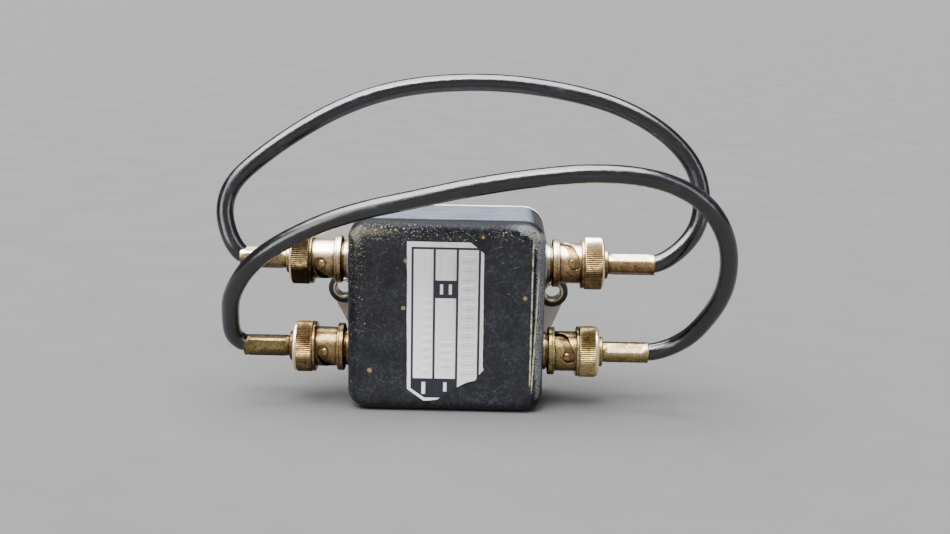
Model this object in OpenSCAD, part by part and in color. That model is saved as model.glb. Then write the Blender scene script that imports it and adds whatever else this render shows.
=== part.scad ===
// Dual port coupler with two coaxial jumper leads.
// A moulded case stands on its base. Two bayonet jacks sit one above the other on
// each side wall, and each pair of facing jacks is joined over the case by a lead.
// X runs across the ports, Y from the labelled face (-Y) to the mounting plate, Z up.

/* [Case] */
// Width between the two port walls
case_w = 54; // [50:1:60]
// Height of the case
case_h = 54; // [48:1:60]
// Depth from the labelled face to the mounting plate
case_d = 24.2; // [23:0.2:28]
// Radius of the four upright edges seen from the front
corner_r = 6; // [5:0.5:8]
// Radius of the rounded front edge
front_r = 3.3; // [1.5:0.1:3.6]
// Wall thickness of the moulding
wall_t = 2; // [1.6:0.1:2.2]

/* [Ports] */
// Height of the lower pair of jacks above the base
port_low = 15.4; // [15:0.1:16]
// Depth of the upper pair of jacks below the top
port_top = 13.2; // [13:0.1:14]
// Distance of the jack axes behind the labelled face
port_back = 10.7; // [10.5:0.1:12]

/* [Bayonet coupling] */
// Outside diameter of the jack barrel
barrel_d = 9.6; // [9.5:0.05:9.7]
// Diameter of each bayonet stud
stud_d = 2; // [1.8:0.1:2]
// Distance across the tips of the two studs
stud_span = 11; // [10.8:0.1:11.1]
// Distance of the studs from the port wall when the plug is locked
stud_u = 6.8; // [6.6:0.1:6.9]
// Outside diameter of the knurled grip
grip_d = 14.4; // [14:0.1:14.6]
// Number of knurl ridges around the grip
grip_teeth = 72; // [48:4:96]
// Axial push that frees the stud from its notch
push_in = 0.7; // [0.5:0.1:0.7]
// Thickness of the shims that hold the upper jacks off the wall
shim_t = 0.6; // [0.3:0.1:0.8]

/* [Leads] */
// Diameter of the lead jacket
lead_d = 4.95; // [4.6:0.05:5]
// Sides of the swept lead
lead_sides = 10; // [8:1:12]

/* [Mounting] */
// Height of the fixing holes above the base
fixing_z = 29.4; // [27:0.1:31]
// Bore of the fixing eyelets
eyelet_bore = 4.3; // [4:0.1:4.4]
// Thickness of the mounting plate
plate_t = 1.2; // [1:0.1:1.5]

/* [Hidden] */
$fn = 64;
label_t = 0.15;
label_w = 21.1;
label_top = case_h - 5.7;
rear_proud = 1.55;          // grommet and eyelet behind the plate
run = 0.1;                  // running clearance on a radius
eps = 0.02;

depth_all = label_t + case_d + plate_t + rear_proud;
front_y = -depth_all / 2 + label_t;
seat_y = front_y + case_d;  // joint between case and plate
back_y = seat_y + plate_t;
port_y = front_y + port_back;
port_hi = case_h - port_top;
half_w = case_w / 2;
mid_z = case_h / 2;

// side, height, clocking of the studs and shim for each port
PORTS = [
    [-1, port_hi, -94, shim_t],
    [-1, port_low, -92, 0],
    [1, port_hi, -102, shim_t],
    [1, port_low, -87, 0]
];

// axial stations, measured outward from the seat of the jack's flange
rim_u = [1.5, 3.45];
neck_end_u = 9.4;
knurl_u = [10.5, 14.8];
nut_end_u = 15.8;
tip_u = 11.9;
collar_u = [12.5, 13.5];
ring_u = [12.82, 13.18];    // retaining ring in its groove
thrust_u = collar_u[1] + push_in + 0.17;
thrust_t = 0.3;
body_end_u = 16.9;
ferrule_end_u = 29.9;
shell_rear_u = -7;

barrel_r = barrel_d / 2;
barrel_bore = barrel_r - 0.75;
nut_bore = barrel_r + run;
neck_r = 5.6;
flange_r = 5.3;
rim_r = 6.7;
rim_bore = rim_r - 0.6;
body_r = 4.2;
stem_r = 1.9;
slot_half = stud_d / 2 + 0.15;
thread_r = 4.6;
nut_flat = 12.4;

// cam slot outline in the nut wall: angle from the notch, then its front and rear
// edges, measured from the stud
SLOT = [
    [-19, 0.2, 1.1], [-17, -0.3, 1.6], [-14, -0.62, 1.95], [-10, -0.87, 2.15],
    [-5, -1.06, 2.24], [0, -1.12, 2.22], [5, -1.07, 2.14], [9, -0.93, 2.05],
    [13, -0.8, 2], [18, -0.76, 1.9], [24, -0.8, 1.62], [32, -0.94, 1.25],
    [42, -1.3, 0.88], [52, -1.9, 0.52], [60, -2.6, 0.2], [66, -3.1, -0.12],
    [73, -3.1, -0.6], [78, -3.1, -1.1], [82, -2.9, -1.9]
];
ENTRY = 70;                 // angle of the straight entry groove

eyelet_r = eyelet_bore / 2;
eyelet_wall = 0.35;
eyelet_lip = eyelet_r + 0.9;
eyelet_gap = 0.1;           // clearance between the eyelet and the port wall
fixing_span = case_w + 2 * (eyelet_lip + eyelet_gap);
grommet_r = eyelet_lip + 1.4;
grommet_seat = eyelet_lip + 0.15;
grommet_t = 1.4;
ear_r = 4;                  // tip radius of the plate's ears
ear_top = 60;               // slope of the upper flank of each ear
ear_low = [62, 68];         // slope of the lower flank, left and right

board_y = seat_y - 6.2;
board_t = 1.6;
board_gap = 5;              // outside of the case to the edge of the board
post = [half_w - 15, mid_z - board_gap - 3];
resistor_z = mid_z - board_gap - 7;
boss_in = 4.1;              // outside of the case to the middle of a corner boss
boss = half_w - boss_in;

// route of each lead: points that steer a smooth curve from ferrule to ferrule
UPPER = [
    [-half_w - 22, port_y, port_hi], [-half_w - 26, port_y, port_hi],
    [-half_w - 30, port_y, port_hi],
    [-60, -2, 44.5], [-62, 0, 49], [-63, 2, 54], [-61, 4.5, 61], [-52, 6.5, 68.5],
    [-40.5, 9, 76.5], [-27, 11, 83.5], [-13, 12, 87.5], [2, 13, 89], [17, 13, 89],
    [32, 12.5, 87], [46, 11, 84], [59.5, 8, 77.5], [69.5, 4.5, 67.5], [71, 1, 56],
    [68.5, -1, 49], [63.5, -2.5, 44], [half_w + 31.5, port_y, port_hi],
    [half_w + 27, port_y, port_hi], [half_w + 22.5, port_y, port_hi]
];
LOWER = [
    [-half_w - 22, port_y, port_low], [-half_w - 26, port_y, port_low],
    [-half_w - 29.8, port_y, port_low],
    [-60.1, -4.4, 18.6], [-60, -6.8, 22.6], [-59.6, -10, 28.5], [-58, -14, 34],
    [-52, -18.5, 43.5], [-39.5, -21, 51.5], [-25, -23.5, 58], [-10, -25.5, 61.5],
    [5, -27, 65.5], [21, -28.5, 68.5], [36, -29, 70.5], [52, -28.5, 70],
    [67, -26.5, 64.5], [75.5, -21.5, 51.5], [76, -15, 36.5], [72, -9.5, 27.5],
    [68.5, -6, 21.5], [63.5, -3.5, 17.5], [half_w + 31, port_y, port_low],
    [half_w + 26.5, port_y, port_low], [half_w + 22, port_y, port_low]
];

// Helpers:

// rectangle with rounded corners, as a list of points
function round_rect(w, h, r, n = 8) = [
    for (q = [0:3], k = [0:n])
        let (a = 90 * q + 90 * k / n,
             sx = (q == 0 || q == 3) ? 1 : -1,
             sz = (q < 2) ? 1 : -1)
        [sx * (w / 2 - r) + r * cos(a), sz * (h / 2 - r) + r * sin(a)]
];

// point of a uniform cubic B-spline over four steering points
function blend(p, i, t) =
    (pow(1 - t, 3) * p[i] + (3 * pow(t, 3) - 6 * t * t + 4) * p[i + 1]
    + (-3 * pow(t, 3) + 3 * t * t + 3 * t + 1) * p[i + 2] + pow(t, 3) * p[i + 3]) / 6;

function curve(p, n) = concat(
    [for (i = [0:len(p) - 4], k = [0:n - 1]) blend(p, i, k / n)],
    [blend(p, len(p) - 4, 1)]
);

function unit(v) = v / norm(v);

function flip(v) = [for (k = [len(v) - 1:-1:0]) v[k]];

// direction of a chain of points at point i
function heading(c, i) = unit(c[min(i + 1, len(c) - 1)] - c[max(i - 1, 0)]);

// faces of a closed tube of m rings with s points each
function tube_faces(m, s) = concat(
    [[for (k = [0:s - 1]) s - 1 - k]],
    [for (i = [0:m - 2], k = [0:s - 1])
        [i * s + k, i * s + (k + 1) % s, (i + 1) * s + (k + 1) % s]],
    [for (i = [0:m - 2], k = [0:s - 1])
        [i * s + k, (i + 1) * s + (k + 1) % s, (i + 1) * s + k]],
    [[for (k = [0:s - 1]) (m - 1) * s + k]]
);

// round tube swept along a chain of points
module sweep(c, r, s) {
    rings = [for (i = [0:len(c) - 1])
        let (t = heading(c, i), a = unit(cross(t, [0, 1, 0])), b = cross(t, a))
        for (k = [0:s - 1])
            c[i] + r * cos(360 * k / s) * a + r * sin(360 * k / s) * b];
    polyhedron(rings, tube_faces(len(c), s), convexity = 8);
}

// puts a child built along +Z from the case wall at port i
module at_wall(i) {
    p = PORTS[i];
    translate([p[0] * half_w, port_y, p[1]])
        rotate([0, 0, p[0] > 0 ? 0 : 180])
            rotate([0, 90, 0])
                children();
}

// the same from the seat of the jack's flange
module at_port(i) {
    at_wall(i) translate([0, 0, PORTS[i][3]]) children();
}

// ring from one radius to another between two stations
module ring(r0, r1, u0, u1) {
    translate([0, 0, u0])
        difference() {
            cylinder(r = r1, h = u1 - u0);
            translate([0, 0, -1]) cylinder(r = r0, h = u1 - u0 + 2);
        }
}

// flat shape drawn in X and Z, given thickness t from station y
module slab(y, t) {
    translate([0, y + t, 0]) rotate([90, 0, 0]) linear_extrude(height = t) children();
}

// cylinder along +Y from station y
module rod(x, y, z, r, t) {
    translate([x, y + t, z]) rotate([90, 0, 0]) cylinder(r = r, h = t);
}

// Case:

// section of the case edge, from the inner line to the rounded outer face
module edge_section() {
    inner = corner_r - front_r;
    square([inner, case_d]);
    translate([inner, 0]) square([front_r, case_d - front_r]);
    translate([inner, case_d - front_r])
        intersection() {
            circle(r = front_r);
            square(front_r);
        }
}

// solid outline of the moulding, front face towards +Z
module case_block() {
    w = case_w - 2 * corner_r;
    h = case_h - 2 * corner_r;
    translate([-w / 2, -h / 2, 0]) cube([w, h, case_d]);
    for (q = [0:3])
        rotate([0, 0, 90 * q]) {
            along = (q % 2 == 0) ? h : w;
            off = (q % 2 == 0) ? w / 2 : h / 2;
            translate([off, along / 2, 0])
                rotate([90, 0, 0]) linear_extrude(height = along) edge_section();
            translate([off, along / 2, 0])
                rotate_extrude(angle = 90) edge_section();
        }
}

module case() {
    color("#1d1e21")
    difference() {
        union() {
            difference() {
                translate([0, seat_y, mid_z]) rotate([90, 0, 0]) case_block();
                translate([0, 0, mid_z])
                    slab(front_y + wall_t + 0.4, case_d)
                        polygon(round_rect(case_w - 2 * wall_t, case_h - 2 * wall_t, 4));
            }
            for (sx = [-1, 1], sz = [-1, 1]) {
                rod(sx * boss, front_y + wall_t, mid_z + sz * (mid_z - boss_in),
                    2.4, case_d - wall_t);
                rod(sx * post[0], front_y + wall_t, mid_z + sz * post[1],
                    1.8, board_y - front_y - wall_t);
            }
        }
        for (sx = [-1, 1], sz = [-1, 1]) {
            rod(sx * boss, seat_y - 8, mid_z + sz * (mid_z - boss_in), 0.8, 9);
            rod(sx * post[0], board_y - 6, mid_z + sz * post[1], 0.6, 7);
        }
        for (i = [0:3])
            at_wall(i)
                translate([0, 0, -wall_t - 1]) cylinder(r = thread_r + run, h = wall_t + 2);
    }
}

// Mounting plate and fixings:

// arc of points about a centre, from angle a0 to a1
function arc(x, z, r, a0, a1, n) =
    [for (k = [0:n]) let (a = a0 + (a1 - a0) * k / n) [x + r * cos(a), z + r * sin(a)]];

// height that a flank of slope a takes from the ear's tip to the case wall
function flank(a) =
    (fixing_span / 2 + ear_r * sin(a) - half_w) * tan(a) + ear_r * cos(a);

// half of the plate outline, from the foot to the top of side s: rounded corners,
// and an ear whose straight flanks run to a round tip
function plate_side(s) =
    let (w = half_w - corner_r,
         tip = [fixing_span / 2, fixing_z],
         low = ear_low[s > 0 ? 1 : 0])
    [for (p = concat(
        arc(w, corner_r, corner_r, -90, 0, 8),
        [[half_w, tip[1] - flank(low)]],
        arc(tip[0], tip[1], ear_r, low - 90, 90 - ear_top, 8),
        [[half_w, tip[1] + flank(ear_top)]],
        arc(w, case_h - corner_r, corner_r, 0, 90, 8)
    )) [s * p[0], p[1]]];

module mounting_plate() {
    color("#9c8b80")
    difference() {
        slab(seat_y, plate_t)
            polygon(concat(plate_side(1), flip(plate_side(-1))));
        for (s = [-1, 1]) rod(s * fixing_span / 2, seat_y - 1, fixing_z, grommet_seat, 4);
        for (sx = [-1, 1], sz = [-1, 1])
            translate([sx * boss, back_y, mid_z + sz * (mid_z - boss_in)])
                rotate([90, 0, 0]) {
                    translate([0, 0, -1]) cylinder(r = 1.1, h = 4);
                    cylinder(r1 = 2.05, r2 = 1.1, h = 0.95);
                }
    }
}

module plate_screws() {
    color("#8f9094")
    for (sx = [-1, 1], sz = [-1, 1])
        translate([sx * boss, back_y - 0.03, mid_z + sz * (mid_z - boss_in)])
            rotate([90, 0, 0])
                difference() {
                    rotate_extrude()
                        polygon([[0, 0], [1.95, 0], [1, 0.95], [0.98, 1.05],
                                 [0.76, 1.1], [0.76, 6.5], [0, 7.2]]);
                    for (a = [0, 90])
                        rotate([0, 0, a]) translate([-1.1, -0.2, -1]) cube([2.2, 0.4, 1.5]);
                }
}

// rubber grommet in one ear, with its flank trimmed against the case wall
module grommet(s) {
    color("#17171a")
    translate([s * fixing_span / 2, 0, fixing_z])
        difference() {
            translate([0, seat_y - grommet_t, 0])
                rotate([-90, 0, 0])
                    rotate_extrude()
                        polygon([
                            [eyelet_r + eyelet_wall, 0], [grommet_r - 0.5, 0],
                            [grommet_r, 0.5], [grommet_r, grommet_t - eps],
                            [grommet_seat - eps, grommet_t - eps],
                            [grommet_seat - eps, grommet_t + plate_t + eps],
                            [grommet_r, grommet_t + plate_t + eps],
                            [grommet_r, grommet_t + plate_t + 0.8],
                            [grommet_r - 0.4, grommet_t + plate_t + 1.2],
                            [eyelet_r + eyelet_wall, grommet_t + plate_t + 1.2]
                        ]);
            translate([s > 0 ? -10 - fixing_span / 2 + half_w + 0.05
                             : fixing_span / 2 - half_w - 0.05,
                       seat_y - grommet_t - 1, -10])
                cube([10, grommet_t + 1 - eps, 20]);
        }
}

module grommet_left() { grommet(-1); }
module grommet_right() { grommet(1); }

// plated eyelet with a rolled lip in front and a flat seat behind
module eyelet(s) {
    front = seat_y - grommet_t - 0.45;
    len = depth_all / 2 - front;
    out = eyelet_r + eyelet_wall;
    color("#b39a5c")
    translate([s * fixing_span / 2, front, fixing_z])
        rotate([-90, 0, 0])
            rotate_extrude()
                polygon(concat(
                    [[eyelet_r, len], [eyelet_r, 0.2]],
                    [for (k = [0:5]) let (a = 180 - 30 * k)
                        [(eyelet_r + eyelet_lip) / 2 + (eyelet_lip - eyelet_r) / 2 * cos(a),
                         0.2 - 0.2 * sin(a)]],
                    [[eyelet_lip, 0.2], [eyelet_lip, 0.43], [out - eps, 0.43],
                     [out - eps, len - 0.33], [eyelet_lip, len - 0.33],
                     [eyelet_lip, len]]
                ));
}

module eyelet_left() { eyelet(-1); }
module eyelet_right() { eyelet(1); }

// printed foil, torn off along its lower right edge
module label() {
    color("#c4c6c8")
    slab(front_y - label_t, label_t)
        polygon([
            [-label_w / 2 - 0.15, label_top], [label_w / 2 - 4.05, label_top],
            [label_w / 2 - 0.35, label_top - 2.9], [label_w / 2 - 0.15, 12.6],
            [9, 10.6], [8.4, 9.5], [6.2, 9], [3.5, 7.5], [0.8, 5.5], [-2.6, 3.6],
            [-5.8, 3.4], [0.15 - label_w / 2, 6.7]
        ]);
}

// Inside the case:

module circuit_board() {
    w = half_w - board_gap;
    h = mid_z - board_gap;
    c = 4.5;
    color("#2f5b3a")
    difference() {
        slab(board_y, board_t)
            translate([0, mid_z])
                polygon([[w, c - h], [w, h - c], [w - c, h], [c - w, h],
                         [-w, h - c], [-w, c - h], [c - w, -h], [w - c, -h]]);
        for (sx = [-1, 1], sz = [-1, 1])
            rod(sx * post[0], board_y - 1, mid_z + sz * post[1], 0.9, 4);
        for (p = PORTS) rod(p[0] * (half_w - 8.7 + p[3]), board_y - 1, p[1], 0.6, 4);
        for (sx = [-1, 1], sz = [-1, 1]) rod(sx * 6, board_y - 1, mid_z + sz * resistor_z, 0.45, 4);
    }
}

module board_screws() {
    color("#8f9094")
    for (sx = [-1, 1], sz = [-1, 1])
        translate([sx * post[0], board_y + board_t, mid_z + sz * post[1]])
            rotate([90, 0, 0])
                difference() {
                    union() {
                        translate([0, 0, -0.9]) cylinder(r = 1.5, h = 0.9);
                        translate([0, 0, -0.1]) cylinder(r = 0.58, h = 6);
                    }
                    translate([-2, -0.18, -1.4]) cube([4, 0.36, 0.9]);
                }
}

module transformer_core() {
    color("#5b5d60")
    translate([0, board_y, mid_z]) rotate([90, 0, 0]) ring(5.5, 9.5, 0.7, 6.7);
}

// two wound coils on the core, a gap apart
module transformer_windings() {
    color("#9a4a20")
    for (a = [0, 180])
        translate([0, board_y, mid_z])
            rotate([90, 0, 0])
                rotate([0, 0, a + 12])
                    rotate_extrude(angle = 156)
                        difference() {
                            translate([4.8, 0]) square([5.4, 7.4]);
                            translate([5.5 - eps, 0.7 - eps]) square([4 + 2 * eps, 6 + 2 * eps]);
                        }
}

module isolation_resistors() {
    color("#6f8a9c")
    for (s = [-1, 1])
        translate([0, board_y - 1.8, mid_z + s * resistor_z]) {
            translate([-3.6, 0, 0]) rotate([0, 90, 0]) cylinder(r = 1.6, h = 7.2);
            translate([-6.3, 0, 0]) rotate([0, 90, 0]) cylinder(r = 0.3, h = 12.6);
            for (sx = [-1, 1])
                translate([sx * 6, 0, 0]) rotate([-90, 0, 0]) cylinder(r = 0.3, h = 4);
        }
}

// Jacks:

// nickel shell: threaded shank through the wall, flange, barrel and two studs
module jack_shell(i) {
    color("#8c7d5c")
    at_port(i)
        difference() {
            union() {
                translate([0, 0, shell_rear_u]) cylinder(r = thread_r, h = -shell_rear_u + eps);
                cylinder(r = flange_r, h = 1);
                translate([0, 0, 0.5]) cylinder(r = barrel_r, h = tip_u - 0.5);
                translate([0, 0, stud_u])
                    rotate([0, 0, PORTS[i][2]])
                        translate([-stud_span / 2, 0, 0])
                            rotate([0, 90, 0]) cylinder(d = stud_d, h = stud_span);
            }
            translate([0, 0, -5]) cylinder(r = barrel_bore, h = tip_u + 6);
            translate([0, 0, shell_rear_u - 1]) cylinder(r = 2.5, h = 3);
        }
}

module jack_shell_upper_left() { jack_shell(0); }
module jack_shell_lower_left() { jack_shell(1); }
module jack_shell_upper_right() { jack_shell(2); }
module jack_shell_lower_right() { jack_shell(3); }

module jack_insulator(i) {
    color("#e8e6df")
    at_port(i)
        difference() {
            union() {
                translate([0, 0, -4.98]) cylinder(r = barrel_bore - eps, h = 7.4);
                cylinder(r = 2.4, h = 10.5);
            }
            translate([0, 0, -6]) cylinder(r = 1.08, h = 18);
        }
}

module jack_insulator_upper_left() { jack_insulator(0); }
module jack_insulator_lower_left() { jack_insulator(1); }
module jack_insulator_upper_right() { jack_insulator(2); }
module jack_insulator_lower_right() { jack_insulator(3); }

// sockets with their tails turned down into the board
module jack_contacts() {
    color("#c9a54a")
    for (i = [0:3])
        at_port(i)
            difference() {
                union() {
                    translate([0, 0, -8.7]) cylinder(r = 1.05, h = 18.5);
                    translate([0, 0, -8.7])
                        rotate([PORTS[i][0] > 0 ? -90 : 90, 0, 0])
                            cylinder(r = 0.5, h = board_y + board_t + 0.6 - port_y);
                }
                translate([0, 0, 3.5]) cylinder(r = 0.7, h = 8);
                for (a = [0, 90])
                    rotate([0, 0, a]) translate([-2, -0.12, 5]) cube([4, 0.24, 6]);
            }
}

// a lock washer inside the wall at each jack, and a shim outside at the upper two
module jack_washers() {
    color("#8f9094")
    for (i = [0:3]) {
        at_wall(i) ring(thread_r + run, 6.15, -wall_t - 0.6, -wall_t);
        if (PORTS[i][3] > 0) at_wall(i) ring(thread_r + run, 6, 0, PORTS[i][3]);
    }
}

module jack_nuts() {
    color("#9a8f70")
    for (i = [0:3])
        at_wall(i)
            translate([0, 0, -wall_t - 3])
                difference() {
                    rotate([0, 0, 30]) cylinder(d = nut_flat / cos(30), h = 2.4, $fn = 6);
                    translate([0, 0, -1]) cylinder(r = thread_r + 0.03, h = 5);
                }
}

// Plugs:

// turned body: slit contact sleeve, grooved collar, shank and crimp stem
module plug_body(i) {
    color("#8a7c5a")
    at_port(i)
        difference() {
            rotate_extrude()
                polygon([
                    [2.75, 3.2], [3.7, 3], [barrel_bore - run, 3.3],
                    [barrel_bore - run, collar_u[0]], [4.75, collar_u[0]],
                    [4.75, ring_u[0] - eps], [4.3, ring_u[0] - eps],
                    [4.3, ring_u[1] + eps], [4.75, ring_u[1] + eps],
                    [4.75, collar_u[1]], [body_r, collar_u[1]],
                    [body_r, body_end_u - 0.2], [body_r - 0.2, body_end_u],
                    [stem_r, body_end_u], [stem_r, 24.5], [1.5, 24.5], [1.5, 16],
                    [2.75, 16]
                ]);
            for (a = [45, 135])
                rotate([0, 0, a]) translate([-6, -0.2, 2]) cube([12, 0.4, 8]);
        }
}

module plug_body_upper_left() { plug_body(0); }
module plug_body_lower_left() { plug_body(1); }
module plug_body_upper_right() { plug_body(2); }
module plug_body_lower_right() { plug_body(3); }

module plug_insulator(i) {
    color("#e8e6df")
    at_port(i) ring(0.68, 2.73, 10.7, 15.98);
}

module plug_insulator_upper_left() { plug_insulator(0); }
module plug_insulator_lower_left() { plug_insulator(1); }
module plug_insulator_upper_right() { plug_insulator(2); }
module plug_insulator_lower_right() { plug_insulator(3); }

module plug_pins() {
    color("#c9a54a")
    for (i = [0:3])
        at_port(i)
            rotate_extrude()
                polygon([[0, 4.6], [0.3, 4.7], [0.65, 5.6], [0.65, 15.98],
                         [1.1, 15.98], [1.1, 19], [0, 19]]);
}

module gaskets() {
    color("#a8452c")
    for (i = [0:3]) at_port(i) ring(barrel_bore, 4.75, tip_u + eps, collar_u[0] - eps);
}

module retaining_rings() {
    color("#77797c")
    for (i = [0:3])
        at_port(i)
            difference() {
                ring(4.33, 5.2, ring_u[0], ring_u[1]);
                rotate([0, 0, PORTS[i][2]]) translate([3, -0.8, ring_u[0] - 1]) cube([4, 1.6, 3]);
            }
}

// spring washer with three waves
module wave_washer(i) {
    n = 48;
    low = collar_u[1] + 0.01;
    t = 0.15;
    high = push_in - 0.04;
    pts = [for (k = [0:n - 1])
        let (a = 360 * k / n, u = low + high * (0.5 + 0.5 * cos(3 * a)))
        for (c = [[4.3, 0], [4.72, 0], [4.72, t], [4.3, t]])
            [c[0] * cos(a), c[0] * sin(a), u + c[1]]];
    tri = concat(
        [for (k = [0:n - 1], j = [0:3])
            [4 * k + j, 4 * ((k + 1) % n) + (j + 1) % 4, 4 * k + (j + 1) % 4]],
        [for (k = [0:n - 1], j = [0:3])
            [4 * k + j, 4 * ((k + 1) % n) + j, 4 * ((k + 1) % n) + (j + 1) % 4]]
    );
    color("#77797c")
    at_port(i) polyhedron(pts, tri, convexity = 6);
}

module wave_washer_upper_left() { wave_washer(0); }
module wave_washer_lower_left() { wave_washer(1); }
module wave_washer_upper_right() { wave_washer(2); }
module wave_washer_lower_right() { wave_washer(3); }

module thrust_washer(i) {
    color("#77797c")
    at_port(i) ring(body_r + 0.06, barrel_r, thrust_u, thrust_u + thrust_t);
}

module thrust_washer_upper_left() { thrust_washer(0); }
module thrust_washer_lower_left() { thrust_washer(1); }
module thrust_washer_upper_right() { thrust_washer(2); }
module thrust_washer_lower_right() { thrust_washer(3); }

// cutter for one cam slot, swept around the nut wall
module cam_slot() {
    m = len(SLOT);
    r0 = nut_bore - 0.6;
    r1 = neck_r + 0.7;
    pts = [for (s = SLOT)
        for (c = [[r0, s[1]], [r0, s[2]], [r1, s[2]], [r1, s[1]]])
            [c[0] * cos(-s[0]), c[0] * sin(-s[0]), stud_u + c[1]]];
    polyhedron(pts, tube_faces(m, 4), convexity = 6);
    rotate([0, 0, -ENTRY])
        translate([r0, -slot_half, rim_u[0] - 1])
            cube([5.75 - r0, 2 * slot_half, 4.5]);
}

// ridged grip outline
function ridges(n, r0, r1) = [
    for (k = [0:n - 1], j = [0, 1])
        let (a = 360 * (k + j / 2) / n, r = j == 0 ? r1 : r0) [r * cos(a), r * sin(a)]
];

// bayonet nut: rim, slotted neck and knurled grip over a stepped bore
module coupling_nut(i) {
    g = grip_d / 2;
    color("#94835c")
    at_port(i)
        rotate([0, 0, PORTS[i][2]])
            difference() {
                union() {
                    rotate_extrude()
                        polygon([
                            [0, rim_u[0]], [rim_r - 0.3, rim_u[0]],
                            [rim_r, rim_u[0] + 0.3], [rim_r, rim_u[1] - 0.3],
                            [rim_r - 0.3, rim_u[1]], [neck_r, rim_u[1]],
                            [neck_r, neck_end_u], [g - 0.4, neck_end_u],
                            [g - 0.15, neck_end_u + 0.25], [g - 0.15, knurl_u[0]],
                            [0, knurl_u[0]]
                        ]);
                    translate([0, 0, knurl_u[0]])
                        linear_extrude(height = knurl_u[1] - knurl_u[0])
                            polygon(ridges(grip_teeth, g - 0.24, g));
                    rotate_extrude()
                        polygon([
                            [0, knurl_u[1]], [g - 0.15, knurl_u[1]],
                            [g - 0.2, nut_end_u - 0.6], [g - 0.45, nut_end_u - 0.25],
                            [g - 0.9, nut_end_u], [0, nut_end_u]
                        ]);
                }
                cylinder(r = nut_bore, h = thrust_u + thrust_t + 0.03);
                translate([0, 0, rim_u[0] - 1]) cylinder(r = rim_bore, h = 2.1);
                translate([0, 0, ring_u[0] - 0.07])
                    cylinder(r = 5.3, h = ring_u[1] - ring_u[0] + push_in + 0.19);
                translate([0, 0, thrust_u]) cylinder(r = body_r + 0.15, h = 3);
                for (a = [0, 180]) rotate([0, 0, a]) cam_slot();
            }
}

module coupling_nut_upper_left() { coupling_nut(0); }
module coupling_nut_lower_left() { coupling_nut(1); }
module coupling_nut_upper_right() { coupling_nut(2); }
module coupling_nut_lower_right() { coupling_nut(3); }

// crimped sleeve with a belled mouth
module crimp_ferrule(i) {
    color("#8d7d58")
    at_port(i)
        rotate_extrude()
            polygon([
                [2.5, body_end_u + eps], [2.7, body_end_u + eps], [2.85, body_end_u + 0.2],
                [2.85, ferrule_end_u - 1.3], [2.98, ferrule_end_u - 0.7],
                [2.98, ferrule_end_u - 0.15], [2.88, ferrule_end_u],
                [2.65, ferrule_end_u], [2.5, ferrule_end_u - 0.8]
            ]);
}

module crimp_ferrule_upper_left() { crimp_ferrule(0); }
module crimp_ferrule_lower_left() { crimp_ferrule(1); }
module crimp_ferrule_upper_right() { crimp_ferrule(2); }
module crimp_ferrule_lower_right() { crimp_ferrule(3); }

// Leads:

module jumper_cable_upper() {
    color("#141417") sweep(curve(UPPER, 2), lead_d / 2, lead_sides);
}

module jumper_cable_lower() {
    color("#141417") sweep(curve(LOWER, 2), lead_d / 2, lead_sides);
}

case();
mounting_plate();
plate_screws();
grommet_left();
grommet_right();
eyelet_left();
eyelet_right();
label();
circuit_board();
board_screws();
transformer_core();
transformer_windings();
isolation_resistors();
jack_shell_upper_left();
jack_shell_lower_left();
jack_shell_upper_right();
jack_shell_lower_right();
jack_insulator_upper_left();
jack_insulator_lower_left();
jack_insulator_upper_right();
jack_insulator_lower_right();
jack_contacts();
jack_washers();
jack_nuts();
plug_body_upper_left();
plug_body_lower_left();
plug_body_upper_right();
plug_body_lower_right();
plug_insulator_upper_left();
plug_insulator_lower_left();
plug_insulator_upper_right();
plug_insulator_lower_right();
plug_pins();
gaskets();
retaining_rings();
wave_washer_upper_left();
wave_washer_lower_left();
wave_washer_upper_right();
wave_washer_lower_right();
thrust_washer_upper_left();
thrust_washer_lower_left();
thrust_washer_upper_right();
thrust_washer_lower_right();
coupling_nut_upper_left();
coupling_nut_lower_left();
coupling_nut_upper_right();
coupling_nut_lower_right();
crimp_ferrule_upper_left();
crimp_ferrule_lower_left();
crimp_ferrule_upper_right();
crimp_ferrule_lower_right();
jumper_cable_upper();
jumper_cable_lower();
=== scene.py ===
# %% [markdown]
# # Dual port coupler with two jumper leads
# A moulded box carries two bayonet jacks on each side. A crimped plug is locked on each jack by
# its knurled nut, and two black coaxial leads join the plugs over the box. A sheet plate with
# two ears, rubber grommets and brass eyelets holds the box to a panel.
#
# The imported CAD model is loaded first. Every piece made here is given in its millimetres, and
# stands where its CAD solid stands.

import bmesh
import bpy
import numpy as np
from mathutils import Matrix


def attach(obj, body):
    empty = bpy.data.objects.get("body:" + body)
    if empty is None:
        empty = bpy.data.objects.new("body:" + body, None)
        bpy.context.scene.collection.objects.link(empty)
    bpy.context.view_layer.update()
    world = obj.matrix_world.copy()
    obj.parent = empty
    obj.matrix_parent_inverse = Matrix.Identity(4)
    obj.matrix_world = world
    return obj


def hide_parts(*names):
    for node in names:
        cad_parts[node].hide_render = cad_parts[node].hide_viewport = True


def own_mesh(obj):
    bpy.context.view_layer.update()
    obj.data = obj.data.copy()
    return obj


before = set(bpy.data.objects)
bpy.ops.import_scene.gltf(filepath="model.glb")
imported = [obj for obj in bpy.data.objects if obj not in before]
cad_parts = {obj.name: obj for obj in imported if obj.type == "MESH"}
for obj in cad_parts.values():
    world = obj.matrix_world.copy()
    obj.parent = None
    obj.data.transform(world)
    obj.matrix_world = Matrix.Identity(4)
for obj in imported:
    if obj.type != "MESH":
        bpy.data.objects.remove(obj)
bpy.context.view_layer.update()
scene = bpy.context.scene
MM = 0.001
# the box in mm: half its width, its height, its front and its open back, then its ports
HALF_W, CASE_H, FRONT_Y, SEAT_Y = 27.0, 54.0, -13.4, 10.8
PORT_Y, PORT_LOW, PORT_HIGH = -2.7, 15.4, 40.8

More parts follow.
